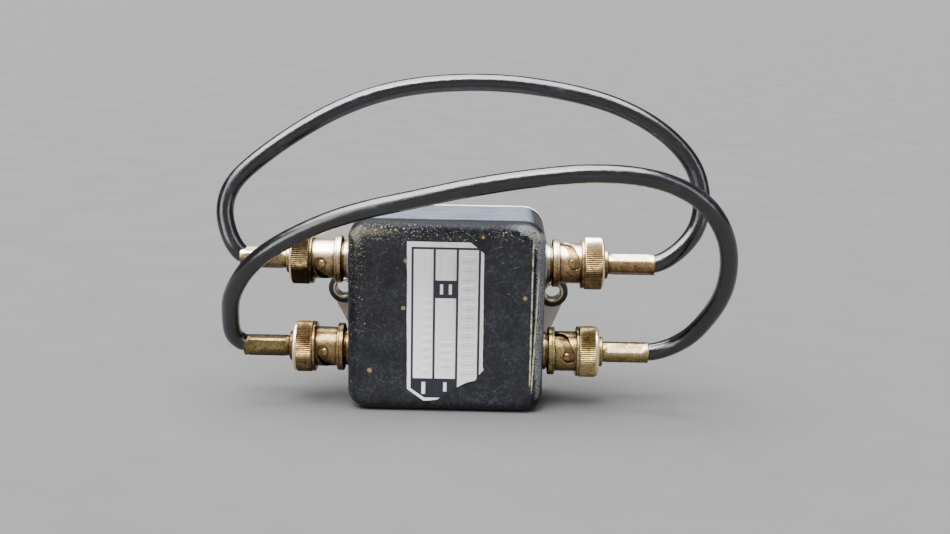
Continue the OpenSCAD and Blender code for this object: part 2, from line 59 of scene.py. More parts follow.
# %% [markdown]
# ## Camera
# The photograph was taken from a little above and in front, about 0.4 m away. Its place was
# found from the box, the ports and the ear holes, whose sizes are known: their pixels fix the
# distance, the height and the small tilt. A camera looks along its own -Z, so the three columns
# of its matrix are its right, its up and the reverse of its view.

# %% Camera
EYE = np.array([10.4, -382.7, 125.7])
YAW, PITCH, ROLL = -0.0071, 0.2239, 0.0186


def stand(name, thing, across, upward, back, place):
    """Puts a camera or a lamp in the scene, with its own X, Y and Z along the three directions."""
    holder = bpy.data.objects.new(name, thing)
    turned = np.eye(4)
    turned[:3] = np.stack([across, upward, back, place], 1)
    holder.matrix_world = Matrix(turned)
    scene.collection.objects.link(holder)
    return holder


ahead = np.array([np.sin(YAW) * np.cos(PITCH), np.cos(YAW) * np.cos(PITCH), -np.sin(PITCH)])
level = np.array([np.cos(YAW), -np.sin(YAW), 0])
upward = np.cross(level, ahead)
right = np.cos(ROLL) * level + np.sin(ROLL) * upward
top = np.cos(ROLL) * upward - np.sin(ROLL) * level

lens = bpy.data.cameras.new("photo_camera")
lens.lens, lens.sensor_width = 53, 36
lens.clip_start, lens.clip_end = 0.01, 50
scene.camera = stand("photo_camera", lens, right, top, -ahead, EYE * MM)
print("camera distance to the box front in mm:", round(float(FRONT_Y - EYE[1])))

# %% [markdown]
# ## A surface from grids of points
# Each piece is one or more grids of points, worked out as whole arrays. This helper turns the
# grids into quads, joins points that fall on each other so that seams and poles close, leaves
# out quads that have shrunk to a line, and turns all faces outwards. A field is a number at each
# point, such as how rubbed the surface is there, which the material reads by name.

# %% Surface helper
def surface(name, node, grids, finish, slot, body="root", fields=None, uvs=None, crease=38):
    """The piece that is seen in place of a CAD node. Quad (i, j) has the corners (i, j), (i+1, j),
    (i+1, j+1) and (i, j+1) of its grid."""
    points, quads, start = [], [], 0
    for g in grids:
        m, n = g.shape[:2]
        a = start + np.arange(m * n).reshape(m, n)
        quads.append(np.stack([a[:-1, :-1], a[1:, :-1], a[1:, 1:], a[:-1, 1:]], -1).reshape(-1, 4))
        points.append(g.reshape(-1, 3))
        start += m * n
    points, quads = np.concatenate(points), np.concatenate(quads)
    spot = np.round(points * 1000).astype(np.int64)
    first, same = np.unique(spot, axis=0, return_index=True, return_inverse=True)[1:]
    corner = same.reshape(-1)[quads]
    own = corner != np.roll(corner, -1, axis=1)
    own[corner[:, 0] == corner[:, 2]] = False
    own[corner[:, 1] == corner[:, 3]] = False
    four, three = own.sum(1) == 4, own.sum(1) == 3
    loops = [corner[four], corner[three][own[three]].reshape(-1, 3)]
    mesh = bpy.data.meshes.new(name)
    mesh.from_pydata((points[first] * MM).tolist(), [], loops[0].tolist() + loops[1].tolist())
    for field, values in (fields or {}).items():
        flat = np.concatenate([np.broadcast_to(v, g.shape[:2]).reshape(-1)
                               for v, g in zip(values, grids)])
        layer = mesh.attributes.new(field, "FLOAT", "POINT")
        layer.data.foreach_set("value", flat[first].astype(np.float32))
    if uvs:
        flat = np.concatenate([u.reshape(-1, 2) for u in uvs])
        taken = [quads[four].reshape(-1), quads[three][own[three]]]
        mesh.uv_layers.new(name="length_round").data.foreach_set(
            "uv", flat[np.concatenate(taken)].astype(np.float32).reshape(-1))
    shell = bmesh.new()
    shell.from_mesh(mesh)
    loose = [v for v in shell.verts if not v.link_faces]
    bmesh.ops.delete(shell, geom=loose, context="VERTS")
    bmesh.ops.recalc_face_normals(shell, faces=shell.faces)
    volume = shell.calc_volume(signed=True) * 1e9
    open_edges = sum(len(e.link_faces) != 2 for e in shell.edges)
    shell.to_mesh(mesh)
    shell.free()
    mesh.polygons.foreach_set("use_smooth", np.ones(len(mesh.polygons), bool))
    mesh.set_sharp_from_angle(angle=np.radians(crease))
    mesh.materials.append(finish)
    piece = bpy.data.objects.new(name, mesh)
    scene.collection.objects.link(piece)
    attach(piece, body)
    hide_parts(node)
    print(f"{name}: {len(mesh.polygons)} faces, {volume:.1f} mm3, {open_edges} open edges")
    return piece


def unevenness(p, size, seed):
    """Soft random field from about -1 to 1: the sum of sine waves of about one wavelength, size,
    in seeded random directions."""
    rng = np.random.default_rng(seed)
    way = rng.normal(size=(3, 9))
    way *= 2 * np.pi / size * rng.uniform(0.6, 1.5, 9) / np.linalg.norm(way, axis=0)
    return np.sin(p @ way + rng.uniform(0, 6.28, 9)).sum(-1) / 4.5


# %% [markdown]
# ## A node with its settings and links
# A material is a small graph of nodes. One helper adds a node: a number or a colour goes on the
# socket itself, and a node or an output is linked to it. Colours are written as the sRGB hex
# values that a paint chart or a picture gives, and one function turns them to the linear light
# that the renderer counts in.

# %% Material helpers
def tint(code):
    """Linear colour of an sRGB hex code: a channel over 0.04045 is ((c + 0.055) / 1.055) ** 2.4."""
    c = np.array([int(code[i:i + 2], 16) for i in (1, 3, 5)]) / 255
    c = np.where(c > 0.04045, ((c + 0.055) / 1.055) ** 2.4, c / 12.92)
    return (*c.tolist(), 1.0)


MODES = {"MapRange": "interpolation_type", "Mapping": "vector_type", "Mix": "data_type"}


def add(tree, kind, feeds=(), stops=(), **settings):
    """Adds the node ShaderNode + kind. Its mode, such as an operation, may follow its kind. feeds
    are its inputs in order, or by name or number. A node gives its first output in use."""
    kind, *mode = kind.split()
    node = tree.nodes.new("ShaderNode" + kind)
    for key, value in [(MODES.get(kind, "operation"), m) for m in mode] + list(settings.items()):
        setattr(node, key, value)
    for key, value in feeds.items() if isinstance(feeds, dict) else enumerate(feeds):
        if isinstance(value, bpy.types.Node):
            value = next(socket for socket in value.outputs if socket.enabled)
        if isinstance(value, bpy.types.NodeSocket):
            tree.links.new(value, node.inputs[key])
        elif value is not None:
            node.inputs[key].default_value = value
    for k, (at, colour) in enumerate(stops):
        step = node.color_ramp.elements[k] if k < 2 else node.color_ramp.elements.new(at)
        step.position, step.color = at, tint(colour)
    return node


def start(name):
    """New material, its node tree, and Object coordinates in millimetres."""
    finish = bpy.data.materials.new(name)
    finish.use_nodes = True
    tree = finish.node_tree
    tree.nodes.clear()
    spot = add(tree, "VectorMath SCALE", {0: add(tree, "TexCoord").outputs["Object"], 3: 1000.0})
    return finish, tree, spot


def end(tree, **feeds):
    """Principled shader and output. feeds are its sockets, with _ for the spaces in their names."""
    skin = add(tree, "BsdfPrincipled", {k.replace("_", " "): v for k, v in feeds.items()})
    add(tree, "OutputMaterial", [skin])


# %% [markdown]
# ## Patterns that the materials share
# A few patterns come back in most materials: the largest of some masks, a mask round one value, a
# mask between two values, and coats of colour or bumps laid over each other. Scuffs, wiped dust
# and lathe marks are noise that is drawn out along some axes. A plain finish is two close tones of
# one colour.

# %% Shared patterns
def largest(t, masks):
    """The largest of some masks."""
    top = masks[0]
    for mask in masks[1:]:
        top = add(t, "Math MAXIMUM", [top, mask])
    return top


def near(t, value, middle, far, close, most=1):
    """Rises from 0 to most as value comes from far to close of the middle."""
    off = add(t, "Math SUBTRACT", [value, middle])
    return add(t, "MapRange", [add(t, "Math ABSOLUTE", [off]), far, close, 0, most])


def between(t, value, low, high, soft):
    """1 between low and high, with soft ends."""
    ends = [add(t, "MapRange", [value, at, full])
            for at, full in ((low, low + soft), (high, high - soft))]
    return add(t, "Math MULTIPLY", ends)


def coats(t, colour, layers):
    """Colours laid over each other: each layer is its share and its colour."""
    for share, over in layers:
        over = tint(over) if isinstance(over, str) else over
        colour = add(t, "Mix RGBA", {0: share, 6: colour, 7: over})
    return colour


def relief(t, layers):
    """Bumps laid over each other: each layer is its strength, its metres of depth, its height."""
    normal = None
    for strength, depth, height in layers:
        normal = add(t, "Bump", {"Strength": strength, "Distance": depth, "Height": height,
                                 "Normal": normal})
    return normal


def drawn(t, where, scale, detail, roughness=0.5, turn=(0, 0, 0), kind="POINT"):
    """Noise drawn out along the axes whose scale is small, or large where kind is TEXTURE."""
    place = add(t, "Mapping " + kind, {"Vector": where, "Rotation": turn, "Scale": scale})
    return add(t, "TexNoise", {"Vector": place, "Scale": 1.0, "Detail": detail,
                               "Roughness": roughness})


def plain_finish(name, light, dark, size, metallic, roughness, ior=1.5, bump=0.00003, drift=0.0):
    """Two close tones of one colour in a noise of a real grain size, with bump and roughness. A
    drift is how much the noise gains for each millimetre along X."""
    finish, t, spot = start(name)
    grain = add(t, "TexNoise", {"Vector": spot, "Scale": 1 / size, "Detail": 5, "Roughness": 0.6})
    shift = add(t, "Math MULTIPLY_ADD", [add(t, "SeparateXYZ", [spot]), drift, grain])
    colour = add(t, "ValToRGB", [shift], stops=[(0.35, light), (0.68, dark)])
    rough = add(t, "MapRange", [grain, 0.3, 0.7, roughness - 0.07, roughness + 0.09])
    end(t, Base_Color=colour, Roughness=rough, Metallic=float(metallic),
        IOR=None if metallic else ior, Normal=relief(t, ((0.5, bump, grain),)))
    return finish


# %% [markdown]
# ## Lead jacket
# The jumpers are 4.95 mm coaxial cable with a PVC jacket: extruded, smooth and glossy when new.
# Plasticised PVC has an index of about 1.53. Handling leaves lengthwise scuffs that turn it grey,
# and small dents break up its highlight. The pattern follows the cable, so it reads a UV map that
# holds millimetres along and around.

# %% PVC jacket
def extruded_pvc():
    finish, t, _ = start("extruded_black_pvc")
    along = add(t, "UVMap", uv_map="length_round")
    scuff = drawn(t, along, (0.4, 1.3, 1), 7, 0.68)
    patch = drawn(t, along, (0.07, 0.2, 1), 2)
    both = add(t, "Math MULTIPLY", [scuff, patch])
    worn = add(t, "MapRange SMOOTHSTEP", [both, 0.26, 0.41, 0, 0.75])
    scratch = drawn(t, along, (0.25, 6, 1), 3, turn=(0, 0, 0.5))
    nick = add(t, "MapRange", [scratch, 0.66, 0.72, 0, 0.7])
    grey = largest(t, [worn, nick])
    colour = add(t, "ValToRGB", [grey], stops=[(0, "#030304"), (1, "#212225")])
    rough = add(t, "MapRange", [grey, 0, 1, 0.12, 0.32])
    dents = relief(t, ((0.55, 0.00012, scuff), (0.3, 0.00004, scratch)))
    end(t, Base_Color=colour, Roughness=rough, IOR=1.53, Specular_IOR_Level=0.8, Normal=dents)
    return finish


pvc = extruded_pvc()

# %% [markdown]
# ## The two jumper leads
# Both ends of each lead are in the photograph, so its length is what the route measures: about
# 207 mm for the upper lead and 231 mm for the lower. The leads were bent by hand and keep that
# bend, held only by their plugs: coaxial cable of this size is stiff enough to stand over the box.
# The steering points are the ones that the CAD sweep uses. A uniform cubic B-spline passes close
# to them with no kink, and the jacket is a circle carried along it.

# %% Lead routes
LEAD_R, SQUEEZED_R = 2.46, 1.95     # the drawn radius, free and inside a crimped sleeve

UPPER = [
    [-49, -2.7, 40.8], [-53, -2.7, 40.8], [-57, -2.7, 40.8], [-60, -2, 44.5], [-62, 0, 49],
    [-63, 2, 54], [-61, 4.5, 61], [-52, 6.5, 68.5], [-40.5, 9, 76.5], [-27, 11, 83.5],
    [-13, 12, 87.5], [2, 13, 89], [17, 13, 89], [32, 12.5, 87], [46, 11, 84], [59.5, 8, 77.5],
    [69.5, 4.5, 67.5], [71, 1, 56], [68.5, -1, 49], [63.5, -2.5, 44], [58.5, -2.7, 40.8],
    [54, -2.7, 40.8], [49.5, -2.7, 40.8]]
LOWER = [
    [-49, -2.7, 15.4], [-53, -2.7, 15.4], [-56.8, -2.7, 15.4], [-60.1, -4.4, 18.6],
    [-60, -6.8, 22.6], [-59.6, -10, 28.5], [-58, -14, 34], [-52, -18.5, 43.5],
    [-39.5, -21, 51.5], [-25, -23.5, 58], [-10, -25.5, 61.5], [5, -27, 65.5],
    [21, -28.5, 68.5], [36, -29, 70.5], [52, -28.5, 70], [67, -26.5, 64.5], [75.5, -21.5, 51.5],
    [76, -15, 36.5], [72, -9.5, 27.5], [68.5, -6, 21.5], [63.5, -3.5, 17.5], [58, -2.7, 15.4],
    [53.5, -2.7, 15.4], [49, -2.7, 15.4]]


def smooth_line(steer, steps):
    """Uniform cubic B-spline: each four steering points give one span, blended by the weights
    (1-t)^3, 3t^3-6t^2+4, -3t^3+3t^2+3t+1 and t^3, all over 6."""
    p = np.array(steer, float)
    t = np.arange(steps) / steps
    w = np.stack([(1 - t) ** 3, 3 * t**3 - 6 * t**2 + 4,
                  -3 * t**3 + 3 * t**2 + 3 * t + 1, t**3], 1) / 6
    four = np.stack([p[k:len(p) - 3 + k] for k in range(4)], 1)
    last = (p[-3] + 4 * p[-2] + p[-1]) / 6
    return np.vstack([np.einsum("sk,pkc->psc", w, four).reshape(-1, 3), last])


def lead(name, steer, node, seed):
    """Circle of the jacket's radius carried along the line, on the two directions square to it.
    The radius wanders by a few hundredths, as an extruded jacket's does, and inside each sleeve
    it is squeezed: it eases from 2.46 to 1.95 mm between 30.3 and 29.2 mm from the wall."""
    line = smooth_line(steer, 18)
    run = np.gradient(line, axis=0)
    run /= np.linalg.norm(run, axis=1)[:, None]
    side = np.cross(run, [0, 1, 0])
    side /= np.linalg.norm(side, axis=1)[:, None]
    up = np.cross(run, side)
    turn = np.linspace(0, 2 * np.pi, 37)
    rim = np.cos(turn)[None, :, None] * side[:, None] + np.sin(turn)[None, :, None] * up[:, None]
    gone = np.r_[0, np.cumsum(np.linalg.norm(np.diff(line, axis=0), axis=1))]
    from_wall = np.where(np.minimum(gone, gone[-1] - gone) < 7, np.abs(line[:, 0]) - HALF_W, 99)
    free = np.clip((from_wall - 29.2) / 1.1, 0, 1)
    body = LEAD_R - (LEAD_R - SQUEEZED_R) * (1 - free * free * (3 - 2 * free))[:, None]
    body = body + 0.02 * unevenness(line[:, None] + 6 * rim, 14, seed)
    tube = line[:, None] + body[..., None] * rim
    tube[:, -1] = tube[:, 0]
    ends = [np.stack([np.broadcast_to(line[k], tube[k].shape), tube[k]]) for k in (0, -1)]
    map_mm = np.stack(np.broadcast_arrays(gone[:, None] + 50 * seed, turn[None] * 4.95 / 2), -1)
    caps = [np.zeros((2, 37, 2)), np.zeros((2, 37, 2))]
    piece = surface(name, node, [tube, *ends], pvc, "lead_jacket", uvs=[map_mm, *caps])
    print(f"{name}: {gone[-1]:.1f} mm from ferrule to ferrule")


lead("lead_upper", UPPER, "jumper_cable_upper", 1)
lead("lead_lower", LOWER, "jumper_cable_lower", 2)

# %% [markdown]
# ## Black moulding
# The box is a compression moulded phenolic or a similar filled thermoset: hard, black, with a
# dull skin (index about 1.6). Years of use have left it grey where it was handled, and cream and
# tan specks of old paint and filler show through, most of them along the front edges. Some colour
# is painted light: the grey on the right roll and the bluish grey on top stand in part for the
# sky's reflection, and a dark band along the top roll is painted shade. Specks are cells of a
# Voronoi pattern: each cell draws a random number, and only those above a limit get a dot. The
# limit comes from a field on the mesh, so the dots crowd where the real ones do.

# %% Moulded phenolic
# specks 0.15 to 0.5 mm across: size of a cell in mm, gain and base of its odds, dot in cells
SPECKS = ((0.36, 0.9, -0.05, 0.5), (0.75, 0.9, -0.05, 0.34), (1.6, 0.3, 0.2, 0.11))
# the few tan spots that stand out on the face: x, z and radius
SPOTS = ((-10.65, 43.25, 0.75), (-11.25, 30.05, 0.7), (21.95, 33.45, 0.7), (-20.45, 12.15, 0.75),
         (10.25, 50.15, 0.5))
# the two worn lines down the right of the roll: lean, x at the foot, lower and upper end
LINES = ((0.0, 23.45, 7, 50), (0.0367, 23.73, 6, 41))


def moulded_phenolic():
    finish, t, spot = start("moulded_black_phenolic")
    rub_and_sheen, dirt, painted_roll_shade = (add(t, "Attribute", attribute_name=n).outputs["Fac"]
                       for n in ("rub_and_sheen", "dirt", "painted_roll_shade"))
    place = add(t, "SeparateXYZ", [spot])
    shaken, cloud, grain, blotch = (
        add(t, "TexNoise", {"Vector": spot, "Scale": scale, "Detail": detail, "Roughness": rough})
        for scale, detail, rough in ((2.4, 4, 0.7), (0.16, 6, 0.62), (3.2, 5, 0.7), (1.1, 7, 0.75)))
    bent = add(t, "VectorMath MULTIPLY_ADD", [shaken.outputs["Color"], (0.7, 0.7, 0.7), spot])
    dots, kinds = [], []
    for cell, gain, base, size in SPECKS:
        v = add(t, "TexVoronoi", {"Vector": bent, "Scale": 1 / cell})
        luck = add(t, "SeparateColor", [v.outputs["Color"]])
        odds = add(t, "Math MULTIPLY_ADD", [dirt, gain, base])
        over = add(t, "Math SUBTRACT", [add(t, "Math ADD", [luck, odds]), 1.0])
        most = add(t, "MapRange", [luck.outputs[1], 0, 1, size * 0.4, size])
        reach = add(t, "Math MINIMUM", [add(t, "Math MULTIPLY", [over, 4.0]), most])
        gap = add(t, "Math SUBTRACT", [reach, v.outputs["Distance"]])
        faint = add(t, "MapRange", [luck.outputs[2], 0, 1, 0.25, 0.95])
        dots.append(add(t, "Math MULTIPLY", [add(t, "MapRange", [gap, -0.02, 0.06]), faint]))
        kinds.append(luck.outputs[2])
    specks = largest(t, dots)
    kind = add(t, "Math ADD", [kinds[1], kinds[2]])
    tone = add(t, "ValToRGB", [add(t, "Math MULTIPLY", [kind, 0.5])],
               stops=[(0.25, "#7d6c49"), (0.75, "#707579"), (0.5, "#a2977d")])
    tan = []
    for x, z, size in SPOTS:
        far = add(t, "VectorMath DISTANCE", [bent, (x, FRONT_Y + 0.35, z)])
        tan.append(add(t, "MapRange", [far, size, size * 0.6, 0, 0.85]))
    black = add(t, "ValToRGB", [cloud], stops=[(0.3, "#08090b"), (0.72, "#141519")])
    hazy = add(t, "Math MULTIPLY", [add(t, "MapRange", [blotch, 0.47, 0.7, 0, 0.7]),
                                    add(t, "MapRange", [cloud, 0.4, 0.62, 0.35, 1])])
    # hair scratches: noise drawn out along three slanting directions
    swirl = add(t, "TexNoise", {"Vector": spot, "Scale": 0.06, "Detail": 1})
    swept = add(t, "VectorMath MULTIPLY_ADD", [swirl.outputs["Color"], (14, 14, 14), spot])
    hairs = []
    for turn, low in ((0.8, 0.66), (-0.7, 0.66), (0.1, 0.68)):
        hair = drawn(t, swept, (15, 1, 0.22), 3, turn=(0, turn, 0), kind="TEXTURE")
        hairs.append(add(t, "MapRange", [hair, low, low + 0.07, 0, 0.4]))
    # the upper side is dusty and wiped along X; its light bluish grey also paints the sky's
    # reflection on the top face
    wiped = add(t, "MapRange", [drawn(t, spot, (0.07, 0.9, 1), 6, 0.7), 0.35, 0.65, 0.4, 1.0])
    above = add(t, "MapRange", [place.outputs[2], 53.3, 53.95])
    patchy = add(t, "MapRange", [blotch, 0.38, 0.55, 0.72, 1.15])
    dust_and_sheen = add(t, "Math MULTIPLY", [above, wiped])
    dust_and_sheen = add(t, "Math MULTIPLY", [dust_and_sheen, patchy], use_clamp=True)
    # grey shows where rub and grain agree: worn filler, and on the right roll also a painted
    # reflection of the sky. Cream filler shows where dirt and grain do
    rubbed, dirty = (add(t, "Math MULTIPLY", [mask, grain]) for mask in (rub_and_sheen, dirt))
    edge = add(t, "MapRange SMOOTHSTEP", [rubbed, 0.36, 0.66, 0, 0.7])
    caked = add(t, "MapRange", [dirty, 0.36, 0.5, 0, 0.4])
    # worn lines on the roll, broken by a noise along Z
    lines = []
    for lean, at, low, high in LINES:
        across = add(t, "VectorMath DOT_PRODUCT", [spot, (1, 0, -lean)])
        lines.append(add(t, "Math MULTIPLY", [near(t, across, at, 0.27, 0.1),
                                              between(t, place.outputs[2], low, high, 3)]))
    broken = drawn(t, spot, (0.8, 0, 0.5), 5, 0.75)
    gate = add(t, "Math MULTIPLY", [add(t, "MapRange", [place.outputs[1], -9.8, -10.6]),
                                    add(t, "MapRange", [broken, 0.4, 0.54, 0.15, 1.0])])
    lined = add(t, "Math MULTIPLY", [largest(t, lines), gate])
    # coats: haze, hairs, dust with a painted sky reflection on top, rubbed grey with a painted
    # reflection on the right roll, worn lines, cream filler, specks, tan spots, then the painted
    # shade band along the top roll
    colour = coats(t, black.outputs[0], (
        (hazy, "#404146"), (largest(t, hairs), "#68686d"), (dust_and_sheen, "#666c75"), (edge, "#8f9092"),
        (lined, "#aaa488"), (caked, "#847d69"), (specks, tone.outputs[0]),
        (largest(t, tan), "#86704a"), (painted_roll_shade, "#0b0b0c")))
    rough = add(t, "MapRange", [add(t, "Math MULTIPLY", [cloud, grain]), 0.12, 0.4, 0.34, 0.56])
    dotted = relief(t, ((0.4, 0.00006, grain), (0.5, 0.00005, specks)))
    matt = add(t, "Math MULTIPLY_ADD", [rub_and_sheen, 1.5, painted_roll_shade])
    sheen = add(t, "MapRange", [matt, 0, 0.8, 0.3, 0.05])
    end(t, Base_Color=colour, Roughness=rough, IOR=1.6, Specular_IOR_Level=sheen, Normal=dotted)
    return finish


phenolic = moulded_phenolic()

# %% [markdown]
# ## Box
# The box is a shell 2 mm thick, 54 mm square and open behind, where the plate closes it. Seen
# from the front it has corners of 6 mm radius, and its front edge is rolled over at 3.3 mm. A
# bevelled cube would give the roll but not the wear, so the shell is a profile carried round a
# rounded square: at each step the square shrinks by an inset and moves back by a depth. The flat
# front and the inner floor are the same square shrunk to a point.

# %% Box shell
CORNER_R, ROLL_R, WALL, FACE_WALL = 6.0, 3.3, 2.0, 2.4


def rounded_square(inset, n_side=46, n_turn=12):
    """Points round a square of side 54 less twice the inset. Its corners turn about centres that
    stay 6 mm inside, so their radius shrinks with the inset."""
    radius = np.maximum(CORNER_R - inset, 0.4)
    reach = HALF_W - inset - radius
    corners = np.array([[1, 1], [-1, 1], [-1, -1], [1, -1]])
    way = np.linspace(0, 1, n_side + 2)[1:-1, None]
    turn, spots = [], []
    for q in range(4):
        turn += [np.linspace(90 * q, 90 * q + 90, n_turn + 1), np.full(n_side, 90 * q + 90.0)]
        spots += [np.tile(corners[q], (n_turn + 1, 1)),
                  corners[q] + way * (corners[(q + 1) % 4] - corners[q])]
    turn, spots = np.radians(np.concatenate(turn)), np.vstack(spots)
    turn, spots = np.r_[turn, turn[0]], np.vstack([spots, spots[:1]])
    x = reach[:, None] * spots[:, 0] + radius[:, None] * np.cos(turn)
    z = CASE_H / 2 + reach[:, None] * spots[:, 1] + radius[:, None] * np.sin(turn)
    return x, z


def box_shell():
    """Rows: front point, flat front, quarter roll, side wall, back rim, inner wall, inner floor."""
    roll = np.radians(np.linspace(0, 90, 13))
    inset = np.r_[np.full(9, ROLL_R), ROLL_R * (1 - np.sin(roll)), np.zeros(26), 0.25,
                  np.full(6, WALL)]
    side = np.linspace(FRONT_Y + ROLL_R, SEAT_Y - 0.25, 27)[1:]
    depth = np.r_[np.full(9, FRONT_Y), FRONT_Y + ROLL_R * (1 - np.cos(roll)), side,
                  SEAT_Y, SEAT_Y, np.full(5, FRONT_Y + FACE_WALL)]
    shrink = np.r_[0, 0.12, 0.3, 0.48, 0.64, 0.78, 0.88, 0.95, 0.985, np.ones(42),
                   0.75, 0.5, 0.25, 0]
    x, z = rounded_square(inset)
    x = x * shrink[:, None]
    z = CASE_H / 2 + (z - CASE_H / 2) * shrink[:, None]
    return np.stack([x, np.broadcast_to(depth[:, None], x.shape), z], -1)


def bell(value, middle, reach):
    """Bell curve: e to the minus square of the distance from the middle over the reach."""
    return np.exp(-((value - middle) / reach) ** 2)


shell = box_shell()
sx, sy, sz = shell[..., 0], shell[..., 1], shell[..., 2]
in_x, in_z = HALF_W - np.abs(sx), CASE_H / 2 - np.abs(sz - CASE_H / 2)
from_rim, behind = np.minimum(in_x, in_z), sy - FRONT_Y
# distance from the middle of the roll, measured on the front and on the side wall
off_edge = np.hypot(np.maximum(from_rim - 1.6, 0), np.maximum(behind - 1.6, 0))
# the wear is a sum of bells where the photo shows it: the roll, the corners and the top edge. Its
# grey on the right roll also paints the sky's reflection
share = (0.5 + 0.5 * np.clip((sx - 15) / 8, 0, 1) * (sz > 4)) * np.clip(0.4 + sz / 30, 0, 1)
arc = bell(np.hypot(sx - 21, sz - 48), 3, 0.6) * (sx > 20) * (sz > 47)
rub_and_sheen = (share * bell(off_edge, 0, 1.5) + 0.2 * bell(sz, 52, 4) + arc
       + 0.35 * bell(sx, 25.6, 1.2) * (behind < ROLL_R))
corners = 0.62 * bell(sx, -24, 16) * bell(sz, 50, 14) + 0.5 * bell(sx, 24, 5) * bell(sz, 50, 6)
dirt = (0.05 - 0.035 * np.tanh(sx / 9) + bell(from_rim, 2.6, 2.2) * corners
        + 0.34 * bell(sz, 50.2, 2) + 0.1 * bell(sx, -25, 2.5) + 0.2 * bell(sx, 25, 2))
dirt *= np.where(behind > 3.4, 0.6, 1)
# painted shade: a dark band along the top of the rolled front edge, which also dulls its sheen
# there
painted_roll_shade = np.clip(1.8 - np.abs(behind - 2.1) / 0.8, 0, 0.95) * np.clip((sz - 50.5) * 2, 0, 1)
# the rubbed edge is worn down by up to a tenth of a millimetre
push = -0.05 * rub_and_sheen * (0.6 + unevenness(shell, 5, 3)) * (sy < SEAT_Y - 1)
outward = np.stack([sx * (in_x < 5), sy * 0 - 8 * (behind < 3), (sz - 27) * (in_z < 5)], -1)
outward /= np.maximum(np.linalg.norm(outward, axis=-1), 1)[..., None]
skin = np.clip(shell + push[..., None] * outward, [-HALF_W, FRONT_Y, 0], [HALF_W, SEAT_Y, CASE_H])
wear_and_light = {"rub_and_sheen": [np.clip(rub_and_sheen, 0, 1)], "dirt": [np.clip(dirt, 0, 1)], "painted_roll_shade": [painted_roll_shade]}
surface("case_shell", "case", [skin], phenolic, "case_moulding", fields=wear_and_light)

# %% [markdown]
# ## Printed foil label
# The label is thin aluminium foil with black printing, stuck on the front. Its lower right part
# has been torn away. The sheet is a ruled grid: each row runs from the left edge to the right
# edge at its height, and both edges are given as functions of height. The printed frame, the
# column lines and the dark heading fields are bare of words: each is a rectangle in the material,
# measured in millimetres on the face.

# %% Foil and its printing
PRINT = [  # left, right, bottom, top of each black field
    (-9.45, -8.8, 4.3, 46.9), (-9.4, 9.35, 46.25, 46.9), (8.75, 9.4, 3.0, 46.85),
    (-3.5, -2.83, 4.3, 46.8), (2.77, 3.42, 4.3, 46.8),
    (-9.35, 3.1, 4.3, 9.9), (-3.2, 3.1, 32.7, 37.7)]
BARS = [  # bare bars inside the fields
    (-6.4, -5.4, 5.4, 8.8), (-0.4, 0.5, 6.2, 8.8), (-1.6, -0.8, 33.8, 36.6), (0.8, 1.6, 33.8, 36.6)]
STAMPS = [  # middle and half width of each row, its lower and upper end, and its pitch
    (6.1, 1.9, 10.6, 45, 2.65), (0.4, 1.6, 12.6, 21, 2.1), (-5.2, 1.15, 11, 33, 2.2)]


def printed_foil():
    finish, t, spot = start("printed_aluminium_foil")

    def filled(fields):
        """1 inside any rectangle: the larger of the distances past its sides is below 0."""
        masks = []
        for left, right_x, low, high in fields:
            off = add(t, "VectorMath SUBTRACT", [spot, ((left + right_x) / 2, 0, (low + high) / 2)])
            far = add(t, "VectorMath SUBTRACT", [add(t, "VectorMath ABSOLUTE", [off]),
                                                 ((right_x - left) / 2, 1e3, (high - low) / 2)])
            part = add(t, "SeparateXYZ", [far])
            out = largest(t, [part.outputs[0], part.outputs[2]])
            masks.append(add(t, "MapRange", [out, 0.04, -0.04]))
        return largest(t, masks)

    rubbed = add(t, "TexNoise", {"Vector": spot, "Scale": 1.4, "Detail": 6, "Roughness": 0.7})
    kept = add(t, "MapRange", [rubbed, 0.74, 0.66, 0.55, 1])
    bare = add(t, "Math SUBTRACT", [filled(PRINT), filled(BARS)])
    black = add(t, "Math MULTIPLY", [bare, kept], use_clamp=True)
    # the printing stops 0.75 mm short of the cut lower left corner, which stays bright
    within = add(t, "VectorMath DOT_PRODUCT", [spot, (0.577, 0, 0.817)])
    inner = add(t, "MapRange", [within, 0.2, 0.27])
    black = add(t, "Math MULTIPLY", [black, inner])
    # stamped marks: a row of plain bars up each column, raised a tenth of a millimetre
    place = add(t, "SeparateXYZ", [spot])
    stamps = []
    for middle, half, low, high, pitch in STAMPS:
        phase = add(t, "Math FRACT", [add(t, "Math DIVIDE", [place.outputs[2], pitch])])
        mark = add(t, "Math MULTIPLY", [near(t, place.outputs[0], middle, half, half - 0.2),
                                        near(t, phase, 0.5, 0.3, 0.22)])
        stamps.append(add(t, "Math MULTIPLY", [mark, between(t, place.outputs[2], low, high, 0.2)]))
    stain = drawn(t, spot, (0.9, 1, 0.07), 5, 0.6)
    silver = add(t, "ValToRGB", [stain], stops=[(0.3, "#c3c1bd"), (0.7, "#d9d7d3")])
    # painted light: the foil is painted lighter toward its lower left
    toward = add(t, "VectorMath DOT_PRODUCT", [spot, (-1, 0, -0.5)])
    glow = add(t, "MapRange", [toward, -22, 2])
    colour = coats(t, silver.outputs[0], ((glow, "#f6f5f3"), (black, "#191922")))
    metal = add(t, "MapRange", [black, 0, 1, 0.4, 0])
    rough = add(t, "MapRange", [rubbed, 0.3, 0.7, 0.34, 0.5])
    struck = relief(t, ((0.3, 0.0001, stain), (0.6, 0.00013, largest(t, stamps))))
    end(t, Base_Color=colour, Metallic=metal, Roughness=rough, Normal=struck)
    return finish


foil = printed_foil()

